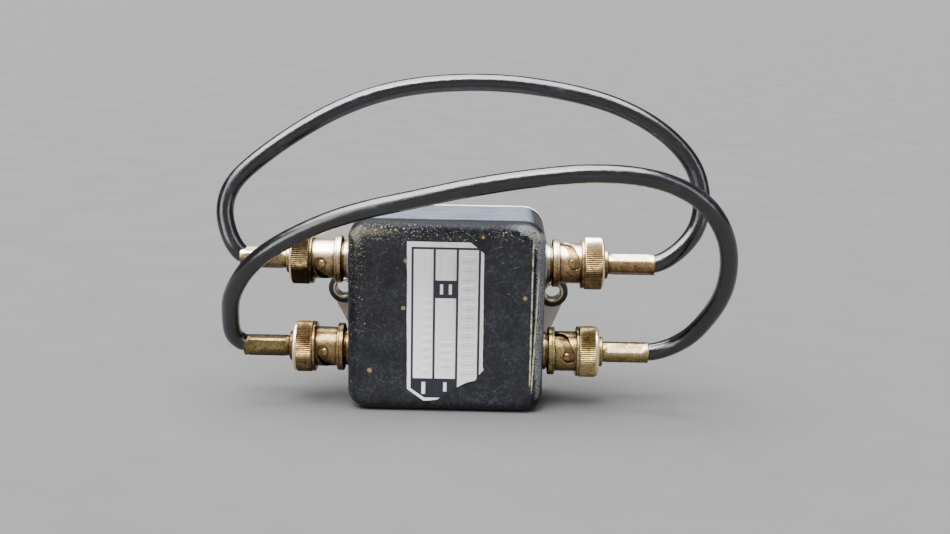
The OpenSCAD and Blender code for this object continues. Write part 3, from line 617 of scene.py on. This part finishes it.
# %% Torn foil sheet
def torn_sheet(across=60, up=150):
    """A row at height z runs from left(z) to right(z). The torn edge wanders by a tenth or two.
    The sheet has a front and a back a label's thickness apart, closed round its edge."""
    z = np.linspace(3.45, 48.3, up)
    left = np.interp(z, [3.4, 6.7, 48.3], [-5.8, -10.4, -10.7])
    right_z = [3.4, 3.6, 5.5, 7.5, 9.0, 9.5, 10.6, 12.6, 45.4, 48.3]
    right_x = [-5.8, -2.6, 0.8, 3.5, 6.2, 8.4, 9.0, 10.4, 10.2, 6.5]
    right_e = np.interp(z, right_z, right_x)
    p = np.stack([z, z * 0, z * 0], -1)
    right_e = right_e + 0.16 * unevenness(p, 1.6, 5) * (z < 15) + 0.05 * unevenness(p, 3, 6)
    left = np.minimum(left + 0.05 * unevenness(p, 4, 7), right_e - 0.05)
    s = np.linspace(0, 1, across)
    x = left[:, None] * (1 - s) + right_e[:, None] * s
    zz = np.broadcast_to(z[:, None], x.shape)
    flat = np.stack([x, np.zeros_like(x), zz], -1)
    wave = 0.02 * unevenness(flat, 11, 8) - 0.02
    front = np.stack([x, FRONT_Y - 0.11 + wave, zz], -1)
    back = np.stack([x, np.full_like(x, FRONT_Y + 0.01), zz], -1)
    hem = [np.stack([front[e], back[e]]) for e in (0, -1)]
    hem += [np.stack([front[:, e], back[:, e]]) for e in (0, -1)]
    return [front, back, *hem]


surface("label_sheet", "label", torn_sheet(), foil, "label_foil")

# %% [markdown]
# ## Tarnished connector metal
# Jacks, plugs and nuts are turned brass whose thin plating has gone: the bare alloy has browned
# unevenly, with red oxide in spots. A field on the mesh paints near-black into every step, groove
# and bore and onto the underside: this is painted shade, along with some grime in the hollows. The
# field is negative on the side that faces the light, where it paints a pale highlight. A metal
# keeps the default index, and its colour is its reflection. Lathe marks are rings round the port
# axis, which runs along X, so their noise is fine along X and long the other ways.

# %% Turned brass
def turned_brass(name, red=("#c9a87a", "#865c3b"), olive=("#bdaa72", "#6c5d34"), deep="#241a10"):
    finish, t, spot = start(name)
    grime_and_painted_light, warm = (add(t, "Attribute", attribute_name=n).outputs["Fac"] for n in ("grime_and_painted_light", "warm"))
    cloud = add(t, "TexNoise", {"Vector": spot, "Scale": 0.33, "Detail": 5, "Roughness": 0.62})
    mottle = add(t, "TexNoise", {"Vector": spot, "Scale": 1.7, "Detail": 4, "Roughness": 0.65})
    age = add(t, "Math MULTIPLY_ADD", [mottle, 0.45, cloud])
    tones = [add(t, "ValToRGB", [age], stops=[(0.55, pale), (0.88, brown)]).outputs[0]
             for pale, brown in (olive, red)]
    oxide = add(t, "MapRange SMOOTHSTEP", [mottle, 0.56, 0.72, 0, 0.4])
    # painted light: below 0 the field paints a pale highlight, above 0 near-black painted shade
    # with grime
    shade_and_soil = add(t, "Math SUBTRACT", [grime_and_painted_light, 0.45])
    uneven = add(t, "Math MULTIPLY_ADD", [mottle, 0.9, shade_and_soil])
    bright = add(t, "MapRange", [uneven, 0, -1])
    dark = add(t, "Math MULTIPLY", [uneven, 1.0], use_clamp=True)
    colour = coats(t, tones[0], (
        (warm, tones[1]), (oxide, "#6c452e"), (bright, "#f2dfbd"), (dark, deep)))
    rough = add(t, "MapRange", [age, 0.45, 0.95, 0.22, 0.4])
    rings = drawn(t, spot, (4, 0.2, 0.2), 2)
    cut = relief(t, ((0.3, 0.00004, rings), (0.3, 0.00004, mottle)))
    end(t, Base_Color=colour, Metallic=1.0, Roughness=rough, Normal=cut)
    return finish


connector_brass = turned_brass("tarnished_turned_brass")

# %% [markdown]
# ## Turned pieces at the ports
# A port's own axis points out of its side wall. A turned piece is a profile of radius against
# distance from the wall, spun round that axis. A lathe leaves no perfectly sharp corner, so a
# helper first rounds the profile's corners by a tenth of a millimetre.

# %% Ports, spinning and rounding
PORTS = {  # side, height, clocking of the studs in degrees, lift by a shim, clocking of the sleeve
    "upper_left": (-1, PORT_HIGH, -94, 0.6, 8), "lower_left": (-1, PORT_LOW, -92, 0, 18),
    "upper_right": (1, PORT_HIGH, -102, 0.6, 0), "lower_right": (1, PORT_LOW, -87, 0, -26)}
REDNESS = {  # share of the red tarnish on the nut, the sleeve and the jack
    "upper_left": (0.5, 0.25, 0.5), "lower_left": (0.6, 0.15, 0.6),
    "upper_right": (0.6, 0.95, 0.7), "lower_right": (0.2, 0.15, 0.9)}


def at_port(port, p):
    """Turns a point (x, y, out) of a port's own frame to the object's frame."""
    side, height, lift = PORTS[port][0], PORTS[port][1], PORTS[port][3]
    x, y, out = p[..., 0], p[..., 1], p[..., 2] + lift
    return np.stack([side * (HALF_W + out), PORT_Y + side * y, height - x], -1)


def spin(radius, out, turn):
    """Carries radius and distance out round the axis: x = r cos a, y = r sin a."""
    radius, out, turn = np.broadcast_arrays(radius, out, turn)
    return np.stack([radius * np.cos(turn), radius * np.sin(turn), out], -1)


def eased(profile, size=0.1, steps=3):
    """Rounds each inner corner: the two points that lie size before and after it are joined by a
    quadratic curve whose control point is the corner."""
    p = np.array(profile, float)
    a, b, c = p[:-2], p[1:-1], p[2:]
    back, on = a - b, c - b
    lb, lo = np.linalg.norm(back, axis=1), np.linalg.norm(on, axis=1)
    cut = np.minimum(size, np.minimum(lb, lo) * 0.45)[:, None]
    s, e = b + back / lb[:, None] * cut, b + on / lo[:, None] * cut
    t = np.linspace(0, 1, steps + 1)[None, :, None]
    bend = (1 - t) ** 2 * s[:, None] + 2 * t * (1 - t) * b[:, None] + t**2 * e[:, None]
    return np.vstack([p[:1], bend.reshape(-1, 2), p[-1:]])


ROUND = np.radians(np.linspace(0, 360, 145))
SHINE = {  # height in degrees of the side painted bright and strength of its painted highlight (negative: painted shade all round), for the neck, grip, sleeve and jack
    "upper_left": ((62, 1.0), (50, -0.6), (65, 0.7), (62, 0.6)),
    "lower_left": ((15, -0.2), (5, -0.22), (0, -0.42), (20, -0.1)),
    "upper_right": ((70, 1.05), (92, 1.2), (80, 1.05), (66, 0.9)),
    "lower_right": ((-8, 0.06), (-28, 0.4), (28, 0.25), (-5, -0.1))}
NECK, GRIP, SLEEVE, JACK_END = range(4)


def facing(port, turn, part):
    """Painted light and shade by the way the surface faces: with c the cosine of the angle from the
    side painted bright, it is 0.9 ((1 - c) / 2) ^ 1.2 and more on the underside, up to 0.72, which
    is painted shade, less the highlight times c squared, which is a painted highlight. A negative
    highlight is painted shade all round."""
    height, highlight = SHINE[port][part]
    front, up = -PORTS[port][0] * np.sin(turn), -np.cos(turn)
    c = front * np.cos(np.radians(height)) + up * np.sin(np.radians(height))
    # painted shade on the underside
    below = 0.42 * np.clip(-up - 0.05, 0, 1)
    away = np.minimum(0.9 * ((1 - c) / 2) ** 1.2 + below, 0.72)
    return away - highlight * (np.clip(c, 0, 1) ** 2 if highlight > 0 else 1)


def brass_piece(port, name, node, grids, grime_and_painted_light, part, **how):
    """Tarnished brass from grids in the port's own frame. part picks its share of red."""
    fields = {"grime_and_painted_light": [np.clip(g, -1, 1) for g in grime_and_painted_light],
              "warm": [REDNESS[port][part]] * len(grids)}
    surface(name + port, node + port, [at_port(port, g) for g in grids], connector_brass,
            "connector_brass", fields=fields, **how)


# %% [markdown]
# ## Jack shells
# The jack is a turned shell with a threaded shank through the wall, a flange, a barrel and two
# studs 11 mm across. Only the flange shows, with the studs in the slots of the nut. The thread
# is a ridge whose height depends on distance out minus one pitch a turn, which makes a helix.

# %% Jack shells
STUD_OUT = 6.8
JACK = [(4.05, -4.9), (4.05, 11.7), (4.2, 11.9), (4.6, 11.9), (4.8, 11.7), (4.8, 1.0),
        (5.15, 1.0), (5.3, 0.85), (5.3, 0.0), (4.5, 0.0)]


def jack_shell(port):
    """Barrel, then the helical thread, then the closed rear with its small hole."""
    prof = eased(JACK, 0.08)
    barrel = spin(prof[:, :1], prof[:, 1:], ROUND)
    out = np.linspace(0, -7, 71)[:, None]
    fade = np.clip(np.minimum(-out, out + 7) / 0.4, 0, 1)
    thread = 4.5 - 0.1 * fade * (1 + np.cos(2 * np.pi * out / 0.9 - ROUND))
    shank = spin(thread, out, ROUND)
    rear = spin(np.array([[4.5], [2.5], [2.5], [4.05]]), np.array([[-7], [-7], [-4.9], [-4.9]]),
                ROUND)
    grids = [barrel, shank, rear]
    # painted shade, with some grime, on the barrel and bore under the nut and on the shank; the
    # flange gets the painted light by facing
    inside = 0.65 + 0.2 * (prof[:, :1] < 4.7)
    outside = 0.15 + facing(port, ROUND, JACK_END)
    grime_and_painted_light = [np.where(prof[:, 1:] > 1.2, inside, outside), 0.6, 0.6]
    # studs: short pins with an eased tip, square to the axis
    tip = eased([(0, 5.47), (0.82, 5.47), (1.0, 5.28), (1.0, 4.3), (0, 4.3)], 0.06)
    for half in (0, np.pi):
        pin = spin(tip[:, :1], tip[:, 1:], ROUND[::6])
        a = np.radians(PORTS[port][2]) + half
        grids.append(np.stack([pin[..., 2] * np.cos(a) - pin[..., 1] * np.sin(a),
                               pin[..., 2] * np.sin(a) + pin[..., 1] * np.cos(a),
                               STUD_OUT + pin[..., 0]], -1))
        # painted shade: each stud darker toward its root
        grime_and_painted_light.append(np.clip((5.3 - tip[:, 1:]) * 2.5, 0, 0.7) + 0.1)
    brass_piece(port, "jack_body_", "jack_shell_", grids, grime_and_painted_light, 2)


for port in PORTS:
    jack_shell(port)

# %% [markdown]
# ## Bayonet coupling nuts
# This is the piece that takes most skill. A turned nut has a rim, a neck and a knurled grip, and
# two cam slots are milled right through the neck. Each slot starts near the rim, climbs a quarter
# of a turn, and ends in a notch that holds the stud. A boolean would leave a ragged mesh, so the
# neck is two bands: at each angle one runs from the rim to the slot's front edge, and the other
# from its rear edge to the grip. Where there is no slot the edges meet, and the bands close.

# %% Slot edges and knurl
TEETH = 80
STEP = 360 / TEETH / 4                              # four columns of points to a ridge
SLOT = np.array([  # degrees from the notch, then the front and rear edge measured from the stud
    [-19, 0.2, 1.1], [-17, -0.3, 1.6], [-14, -0.62, 1.95], [-10, -0.87, 2.15], [-5, -1.06, 2.24],
    [0, -1.12, 2.22], [5, -1.07, 2.14], [9, -0.93, 2.05], [13, -0.8, 2], [18, -0.76, 1.9],
    [24, -0.8, 1.62], [32, -0.94, 1.25], [42, -1.3, 0.88], [52, -1.9, 0.52], [60, -2.6, 0.2],
    [66, -3.1, -0.12], [73, -3.1, -0.6], [78, -3.1, -1.1], [82, -2.9, -1.9]])
AROUND = np.arange(321) * STEP - 40.5               # degrees, against the turn of the port's frame
NOTCH, SLOT_START, SLOT_END = 36, 18, 111           # columns of points
WITHIN = (AROUND + 40.5) % 180 - 40.5
OPEN = (WITHIN > -19.5) & (WITHIN < 82.5)
shut = STUD_OUT + np.interp(WITHIN, [-40.5, -19.5, 82.5, 139.5], [-0.9, 0.65, -2.4, -0.9])
edge_front = np.where(OPEN, STUD_OUT + np.interp(WITHIN, SLOT[:, 0], SLOT[:, 1]), shut)
edge_rear = np.where(OPEN, STUD_OUT + np.interp(WITHIN, SLOT[:, 0], SLOT[:, 2]), shut)
entry = np.clip((13.5 - np.abs(WITHIN - 70)) / 1.5, 0, 1)
edge_front = np.where(OPEN & (entry > 0.9), 3.47, edge_front)
groove = 4.9 + 0.6 * entry * OPEN
ridge = (0.5 + 0.5 * np.cos(np.radians(AROUND) * TEETH)) ** 0.75
# the nut's neck and bore, the radius of its grip, and where rim, grip and shoulder begin or end
NECK_IN, NECK_OUT, GRIP_R = 4.9, 5.6, 7.05
RIM_END, GRIP_START, SHOULDER = 3.45, 9.4, 12.75
print("slot width at the stud in mm:", round(float((edge_rear - edge_front)[NOTCH]), 2))

# %% Coupling nut
def coupling_nut(port):
    """Rim, front band, slot walls, rear band, grip and stepped bore, all on the same angles."""
    turn = np.radians(PORTS[port][2] - AROUND)
    steps = np.linspace(0, 1, 8)[:, None]
    wall_top = NECK_OUT - 0.14 * np.clip((edge_rear - edge_front) / 0.5, 0, 1)
    ease = np.r_[np.zeros(6), 0.15, 1][:, None]
    bend = np.r_[np.linspace(0, 0.9, 6), 0.96, 1][:, None]
    blank = np.zeros_like(turn)
    grids, grime_and_painted_light = [], []
    # where the grip has a painted highlight, the painted shade on its underside stops at 0.66
    less_shade_below = np.clip(3 * np.cos(turn), 0, 1) * (SHINE[port][GRIP][1] > 0)
    most = {NECK: 1, GRIP: 1 - 0.34 * less_shade_below}

    # dark is painted shade, with some grime, in steps, slot walls, bore and knurl valleys; put adds
    # it to the painted light by facing
    def put(radius, out, dark, cols=slice(None), part=NECK):
        radius, out = np.broadcast_arrays(radius + blank, out + blank)
        grids.append(spin(radius, out, turn)[:, cols])
        total = np.clip(dark + facing(port, turn, part), -1, most[part])
        grime_and_painted_light.append(np.broadcast_to(total, radius.shape)[:, cols])

    # rim, from its bore to the neck, over two rounded edges and a fine groove
    rim = eased([(6.1, 2.6), (6.1, 1.62), (6.22, 1.5), (6.45, 1.5), (6.7, 1.75), (6.7, 2.7),
                 (6.61, 2.78), (6.7, 2.86), (6.7, 3.2), (6.5, RIM_END), (NECK_OUT, RIM_END)],
                0.07, 2)
    put(np.stack([groove, blank + 6.1]), 2.6, 1.0)
    r, out = rim[:, :1], rim[:, 1:]
    rim_dark = np.clip((5.98 - r) * 3, 0, 0.9) + (np.abs(out - 2.78) < 0.06) * 0.45
    put(r, out, rim_dark + (out < 1.55) * 0.3 + (r < 6.15) * 0.4)
    # front band of the neck, from the rim to the slot, with a small chamfer along the slot
    out = RIM_END + bend * (edge_front - RIM_END)
    put(NECK_OUT + (wall_top - NECK_OUT) * ease, out,
        np.exp((RIM_END - out) / 0.35) * 0.7 + OPEN * np.exp((out - edge_front) / 0.1) * 0.25)
    # rear band of the neck, from the slot to the grip
    out = edge_rear + (1 - bend[::-1]) * (GRIP_START - edge_rear)
    put(NECK_OUT + (wall_top - NECK_OUT) * ease[::-1], out,
        np.exp((out - GRIP_START) / 0.4) * 0.7 + OPEN * np.exp((edge_rear - out) / 0.1) * 0.25)
    # slot walls, then the bore on both sides of the slots, with the groove that lets a stud in
    inner = np.minimum(groove, wall_top - 0.02)
    for half in (0, 160):
        cols = slice(half + SLOT_START, half + SLOT_END)
        put(np.stack([wall_top, inner]), edge_front, 0.75, cols)
        put(np.stack([wall_top, blank + NECK_IN]), edge_rear, 0.75, cols)
    put(inner + (groove - inner) * (1 - steps), edge_front + (1 - steps) * (2.6 - edge_front), 0.8)
    put(NECK_IN, edge_rear + steps * (SHOULDER - edge_rear), 0.8)
    # grip: shoulder, bright fore band and its groove, knurl, and rounded rear corner
    wide = 15.15 if PORTS[port][3] else 14.8
    fore = eased([(NECK_OUT, GRIP_START), (6.78, GRIP_START), (GRIP_R, 9.68), (GRIP_R, 10.1),
                  (6.9, 10.17), (6.9, 10.34), (7.0, 10.4), (GRIP_R, 10.5)], 0.07, 2)
    r, out = fore[:, :1], fore[:, 1:]
    put(r, out, np.clip((6.5 - r) * 1.2, 0, 0.9) + (np.abs(out - 10.25) < 0.12) * 0.5, part=GRIP)
    rows = np.array([10.5, 10.57, 10.68, 12.65, wide - 0.18, wide - 0.07, wide])[:, None]
    swell = np.array([0, 0.6, 1, 1, 1, 0.6, 0])[:, None]
    put(GRIP_R + swell * (ridge * 0.24 - 0.1), rows, swell * 0.55 * (1 - ridge), part=GRIP)
    aft = eased([(GRIP_R, wide), (GRIP_R, wide + 0.1), (6.97, 15.4), (6.76, 15.55), (6.42, 15.74),
                 (6.0, 15.8), (4.35, 15.8), (4.35, 14.7), (NECK_IN, 14.7), (NECK_IN, 14.0),
                 (5.3, 14.0), (5.3, SHOULDER), (NECK_IN, SHOULDER)], 0.07, 2)
    put(aft[:, :1], aft[:, 1:], (5.4 - aft[:, :1]) * 1.4, part=GRIP)
    brass_piece(port, "nut_", "coupling_nut_", grids, grime_and_painted_light, 0, body="nut_" + port, crease=50)


for port in PORTS:
    coupling_nut(port)

# %% [markdown]
# ## Plug bodies and crimped sleeves
# Behind each nut the turned plug body shows as a short step, and then comes the sleeve that was
# crimped over the cable braid. A crimping tool presses the sleeve into a hexagon and leaves a
# round mouth, so the radius here is mixed between a circle and a hexagon, and the share of
# hexagon depends on the distance along the sleeve.

# %% Plug bodies and sleeves
def plug_pieces(port):
    """Hexagon: the radius at angle a is the flat's distance over the cosine of the angle to the
    nearest flat's middle. Rounded by never letting it pass the corner radius."""
    shade = facing(port, ROUND, SLEEVE)
    body = eased([(1.5, 24.5), (1.9, 24.5), (1.9, 16.9), (4.0, 16.9), (4.2, 16.7), (4.2, 13.5),
                  (4.75, 13.5), (4.75, 13.2), (4.3, 13.2), (4.3, 12.8), (4.75, 12.8),
                  (4.75, 12.5), (3.95, 12.5), (3.95, 3.3), (3.7, 3.0), (2.75, 3.2), (2.75, 16.0),
                  (1.5, 16.0), (1.5, 24.5)], 0.06)
    r, out = body[:, :1], body[:, 1:]
    # painted shade: dark at the step behind the nut and where the nut hides the body, added to the
    # painted light by facing
    dark = np.where(out > 15.5, 0.12 + np.exp((15.5 - out) / 0.4) * 0.5, 0.6) + shade
    brass_piece(port, "plug_shell_", "plug_body_", [spin(r, out, ROUND)], [dark], 0)
    sleeve = np.vstack([
        eased([(2.5, 16.92), (2.7, 16.92), (2.86, 17.1), (2.86, 17.6)], 0.06),
        np.stack([np.full(40, 2.86), np.linspace(17.7, 28.5, 40)], 1),
        eased([(2.88, 28.7), (2.96, 29.2), (2.97, 29.6), (2.9, 29.83), (2.75, 29.9),
               (2.62, 29.84), (2.5, 29.2), (2.5, 16.92)], 0.06)])
    r, out = sleeve[:, :1], sleeve[:, 1:]
    clock = np.radians(PORTS[port][0] * PORTS[port][4])
    nearest = (ROUND + clock) % (np.pi / 3) - np.pi / 6
    hexagon = np.minimum(2.73 / np.cos(nearest), 2.98)
    share = np.clip((out - 17.5) / 0.7, 0, 1) * np.clip((28.9 - out) / 0.8, 0, 1) * (r > 2.8)
    dents = 0.015 * unevenness(spin(r, out, ROUND), 2.2, 11) * (r > 2.6)
    radius = r + share * (hexagon - r) + dents
    radius[:, -1] = radius[:, 0]
    # painted shade at the step, at the mouth and all inside the sleeve, added to the painted light
    # by facing
    dark = np.exp((16.92 - out) / 0.3) * 0.8 + (out > 29.8) * 0.4 + shade
    dark = dark * (r > 2.55) + (r <= 2.55)
    brass_piece(port, "sleeve_", "crimp_ferrule_", [spin(radius, out, ROUND)], [dark], 1, crease=60)


for port in PORTS:
    plug_pieces(port)

# %% [markdown]
# ## Wave washers
# Inside each nut a spring washer presses the nut back. It has three waves, and it flattens when
# the nut is pushed in. Each washer's piece gets a mesh of its own.

# %% Wave washers
spring_steel = plain_finish("rolled_spring_steel", "#86888c", "#5f6165", 0.6, 1, 0.32)


def wave_washer(port):
    """A flat strip bent to a ring whose height is a cosine of three times the angle."""
    lift = 13.51 + 0.33 * (1 + np.cos(3 * ROUND))
    section = [(4.3, 0), (4.72, 0), (4.72, 0.15), (4.3, 0.15), (4.3, 0)]
    strip = np.stack([spin(r, lift + h, ROUND) for r, h in section])
    piece = surface("spring_washer_" + port, "wave_washer_" + port, [at_port(port, strip)],
                    spring_steel, "spring_steel")
    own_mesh(piece)


for port in PORTS:
    wave_washer(port)

# %% [markdown]
# ## Grommets and eyelets
# Each ear holds a black rubber grommet with a brass eyelet rolled over it. Rubber is matt, with
# an index near 1.52. The eyelet's bore is painted darker than its lip, as painted shade. Both are
# turned about Y. The grommet would meet the box, so its flank is trimmed flat against the wall:
# every point is moved out to that plane if it lies past it.

# %% Grommets and eyelets
rubber = plain_finish("moulded_black_rubber", "#121213", "#1e1d1d", 0.8, 0, 0.6, 1.52, 0.00005)
eyelet_metal = turned_brass("rolled_eyelet_brass", ("#d6c9a8", "#9a8555"),
                            ("#c9c4b4", "#8d8464"), "#3a3020")


HOLE_X, HOLE_Z = 30.15, 29.4


def ear_pieces(side, name):
    """Profile of radius against Y, spun about the hole's axis."""
    def turned(profile):
        r, y = profile[:, :1], profile[:, 1:]
        return np.stack([side * HOLE_X + r * np.cos(ROUND), y + 0 * ROUND,
                         HOLE_Z + r * np.sin(ROUND)], -1)

    ring = eased([(2.5, 9.4), (4.0, 9.4), (4.43, 9.85), (4.43, 10.78), (3.18, 10.78), (3.18, 12.02),
                  (4.43, 12.02), (4.43, 12.75), (4.0, 13.2), (2.5, 13.2), (2.5, 9.4)], 0.12)
    grid = turned(ring)
    limit = side * (HALF_W + 0.05)
    past = (side * (grid[..., 0] - limit) < 0) & (grid[..., 1] < 10.79)
    grid[..., 0] = np.where(past, limit, grid[..., 0])
    surface("rubber_grommet_" + name, "grommet_" + name, [grid], rubber, "grommet_rubber")
    lip = np.radians(np.linspace(180, 0, 9))
    roll = np.stack([2.6 + 0.45 * np.cos(lip), 9.15 - 0.2 * np.sin(lip)], 1)
    barrel = np.vstack([[(2.15, 13.55), (2.15, 9.3)], roll, [
        (3.05, 9.38), (2.48, 9.38), (2.48, 13.22), (3.05, 13.22), (3.05, 13.45), (2.95, 13.55),
        (2.15, 13.55)]])
    # painted shade: the bore is darker than the lip
    shade = np.clip((2.3 - barrel[:, :1]) * 3, 0, 0.45)
    surface("brass_eyelet_" + name, "eyelet_" + name, [turned(barrel)], eyelet_metal,
            "eyelet_brass", fields={"grime_and_painted_light": [shade], "warm": [0.5]})


ear_pieces(-1, "left")
ear_pieces(1, "right")

# %% [markdown]
# ## Finishes of the CAD pieces that stay
# The plate and the pieces inside the box have their right shapes already, so the CAD nodes stay
# and only get a finish. Each is named for what the real piece is made of.

# %% Finishes of the CAD nodes
PLAIN = {  # name, light and dark tone, grain in mm, metal or not, roughness, index, bump, drift
    "mounting_plate": ("stove_enamelled_steel", "#f6ebe0", "#bba998", 2.5, 0, 0.45, 1.5, 0.00004,
                       -0.006),  # painted shade: the plate is darker on the left
    "plate_screws": ("zinc_plated_steel", "#a3a4a6", "#7c7d80", 0.9, 1, 0.35),
    "circuit_board": ("glass_epoxy_laminate", "#2d5b3c", "#254c32", 0.5, 0, 0.45, 1.55),
    "transformer_core": ("sintered_ferrite", "#55575a", "#434548", 0.4, 0, 0.6, 1.9),
    "transformer_windings": ("enamelled_copper_wire", "#a5542a", "#7d3a18", 0.5, 1, 0.3),
    "isolation_resistors": ("lacquered_resistor", "#6f8a9c", "#5a7486", 0.6, 0, 0.3),
    "gaskets": ("red_silicone_rubber", "#a8452c", "#8c3520", 0.6, 0, 0.6, 1.45),
    "plug_pins": ("gold_plated_brass", "#cdaa52", "#b08f3e", 0.8, 1, 0.22)}
KEPT = {node: plain_finish(*row) for node, row in PLAIN.items()}
KEPT["board_screws"] = KEPT["jack_washers"] = KEPT["plate_screws"]
KEPT["jack_contacts"] = KEPT["plug_pins"]
KEPT["jack_nuts"] = connector_brass
KEPT["retaining_rings"] = spring_steel
ptfe = plain_finish("turned_white_ptfe", "#eceae4", "#dcdad2", 0.7, 0, 0.5, 1.38)
for port in PORTS:
    KEPT["jack_insulator_" + port] = KEPT["plug_insulator_" + port] = ptfe
    KEPT["thrust_washer_" + port] = spring_steel
for name, finish in KEPT.items():
    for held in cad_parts[name].material_slots:
        held.material = finish
print(len(KEPT), "CAD nodes dressed")

# %% [markdown]
# ## Floor and light
# The part stands on a plain pale floor that reaches past the horizon of the picture. Polished
# metal shows what it reflects, and the white line along the top of each nut and lead comes from a
# large soft box overhead; on the connector brass a painted highlight adds to it. The world here is
# that box: a very bright cap with a narrow edge round the zenith, in a sky that is dark otherwise,
# but for a faint glow in front and two upright strips at the sides. One broad sun lamp, above and
# in front, lights the face.

# %% Floor and light
floor = bpy.data.meshes.new("floor")
floor.from_pydata([(-9, -6, 0), (9, -6, 0), (9, 14, 0), (-9, 14, 0)], [], [(0, 1, 2, 3)])
ground = bpy.data.objects.new("floor", floor)
scene.collection.objects.link(ground)
floor.materials.append(plain_finish("pale_matt_floor", "#514f4e", "#4f4d4c", 30, 0, 0.85, 1.4,
                                    0.00001))

sky = bpy.data.worlds.new("studio")
sky.use_nodes = True
t = sky.node_tree
way = add(t, "TexCoord").outputs["Generated"]
overhead = add(t, "VectorMath DOT_PRODUCT", [way, (-0.2, -0.05, 0.98)])
forward = add(t, "VectorMath DOT_PRODUCT", [way, (0, -1, 0)])
shine = add(t, "MapRange SMOOTHSTEP", [overhead, 0.74, 0.88, 0.22, 17])
front = add(t, "MapRange SMOOTHSTEP", [forward, 0.2, 0.95, 0, 0.35])
shine = add(t, "Math ADD", [shine, front])
for east, south, width, glow in ((-0.74, 0.67, 0.3, 7), (0.87, 0.5, 0.2, 4)):
    across = add(t, "VectorMath DOT_PRODUCT", [way, (south, east, 0)])
    out = add(t, "VectorMath DOT_PRODUCT", [way, (east, -south, 0)])
    side = add(t, "MapRange", [out, 0.1, 0.3])
    strip = add(t, "Math MULTIPLY", [near(t, across, 0, width, 0.09, glow), side])
    shine = add(t, "Math ADD", [shine, strip])
t.links.new(shine.outputs[0], t.nodes["Background"].inputs["Strength"])
t.nodes["Background"].inputs["Color"].default_value = tint("#f1f4f9")
scene.world = sky

sun = bpy.data.lights.new("front_sun", "SUN")
sun.energy, sun.angle, sun.color = 1.8, np.radians(16), tint("#fffefb")[:3]
back = np.array([-0.12, -0.47, 0.88])
back /= np.linalg.norm(back)
across = np.cross([0, 1, 0], back)
across /= np.linalg.norm(across)
stand("front_sun", sun, across, np.cross(back, across), back, back)
print("sky, one sun lamp and floor in place")
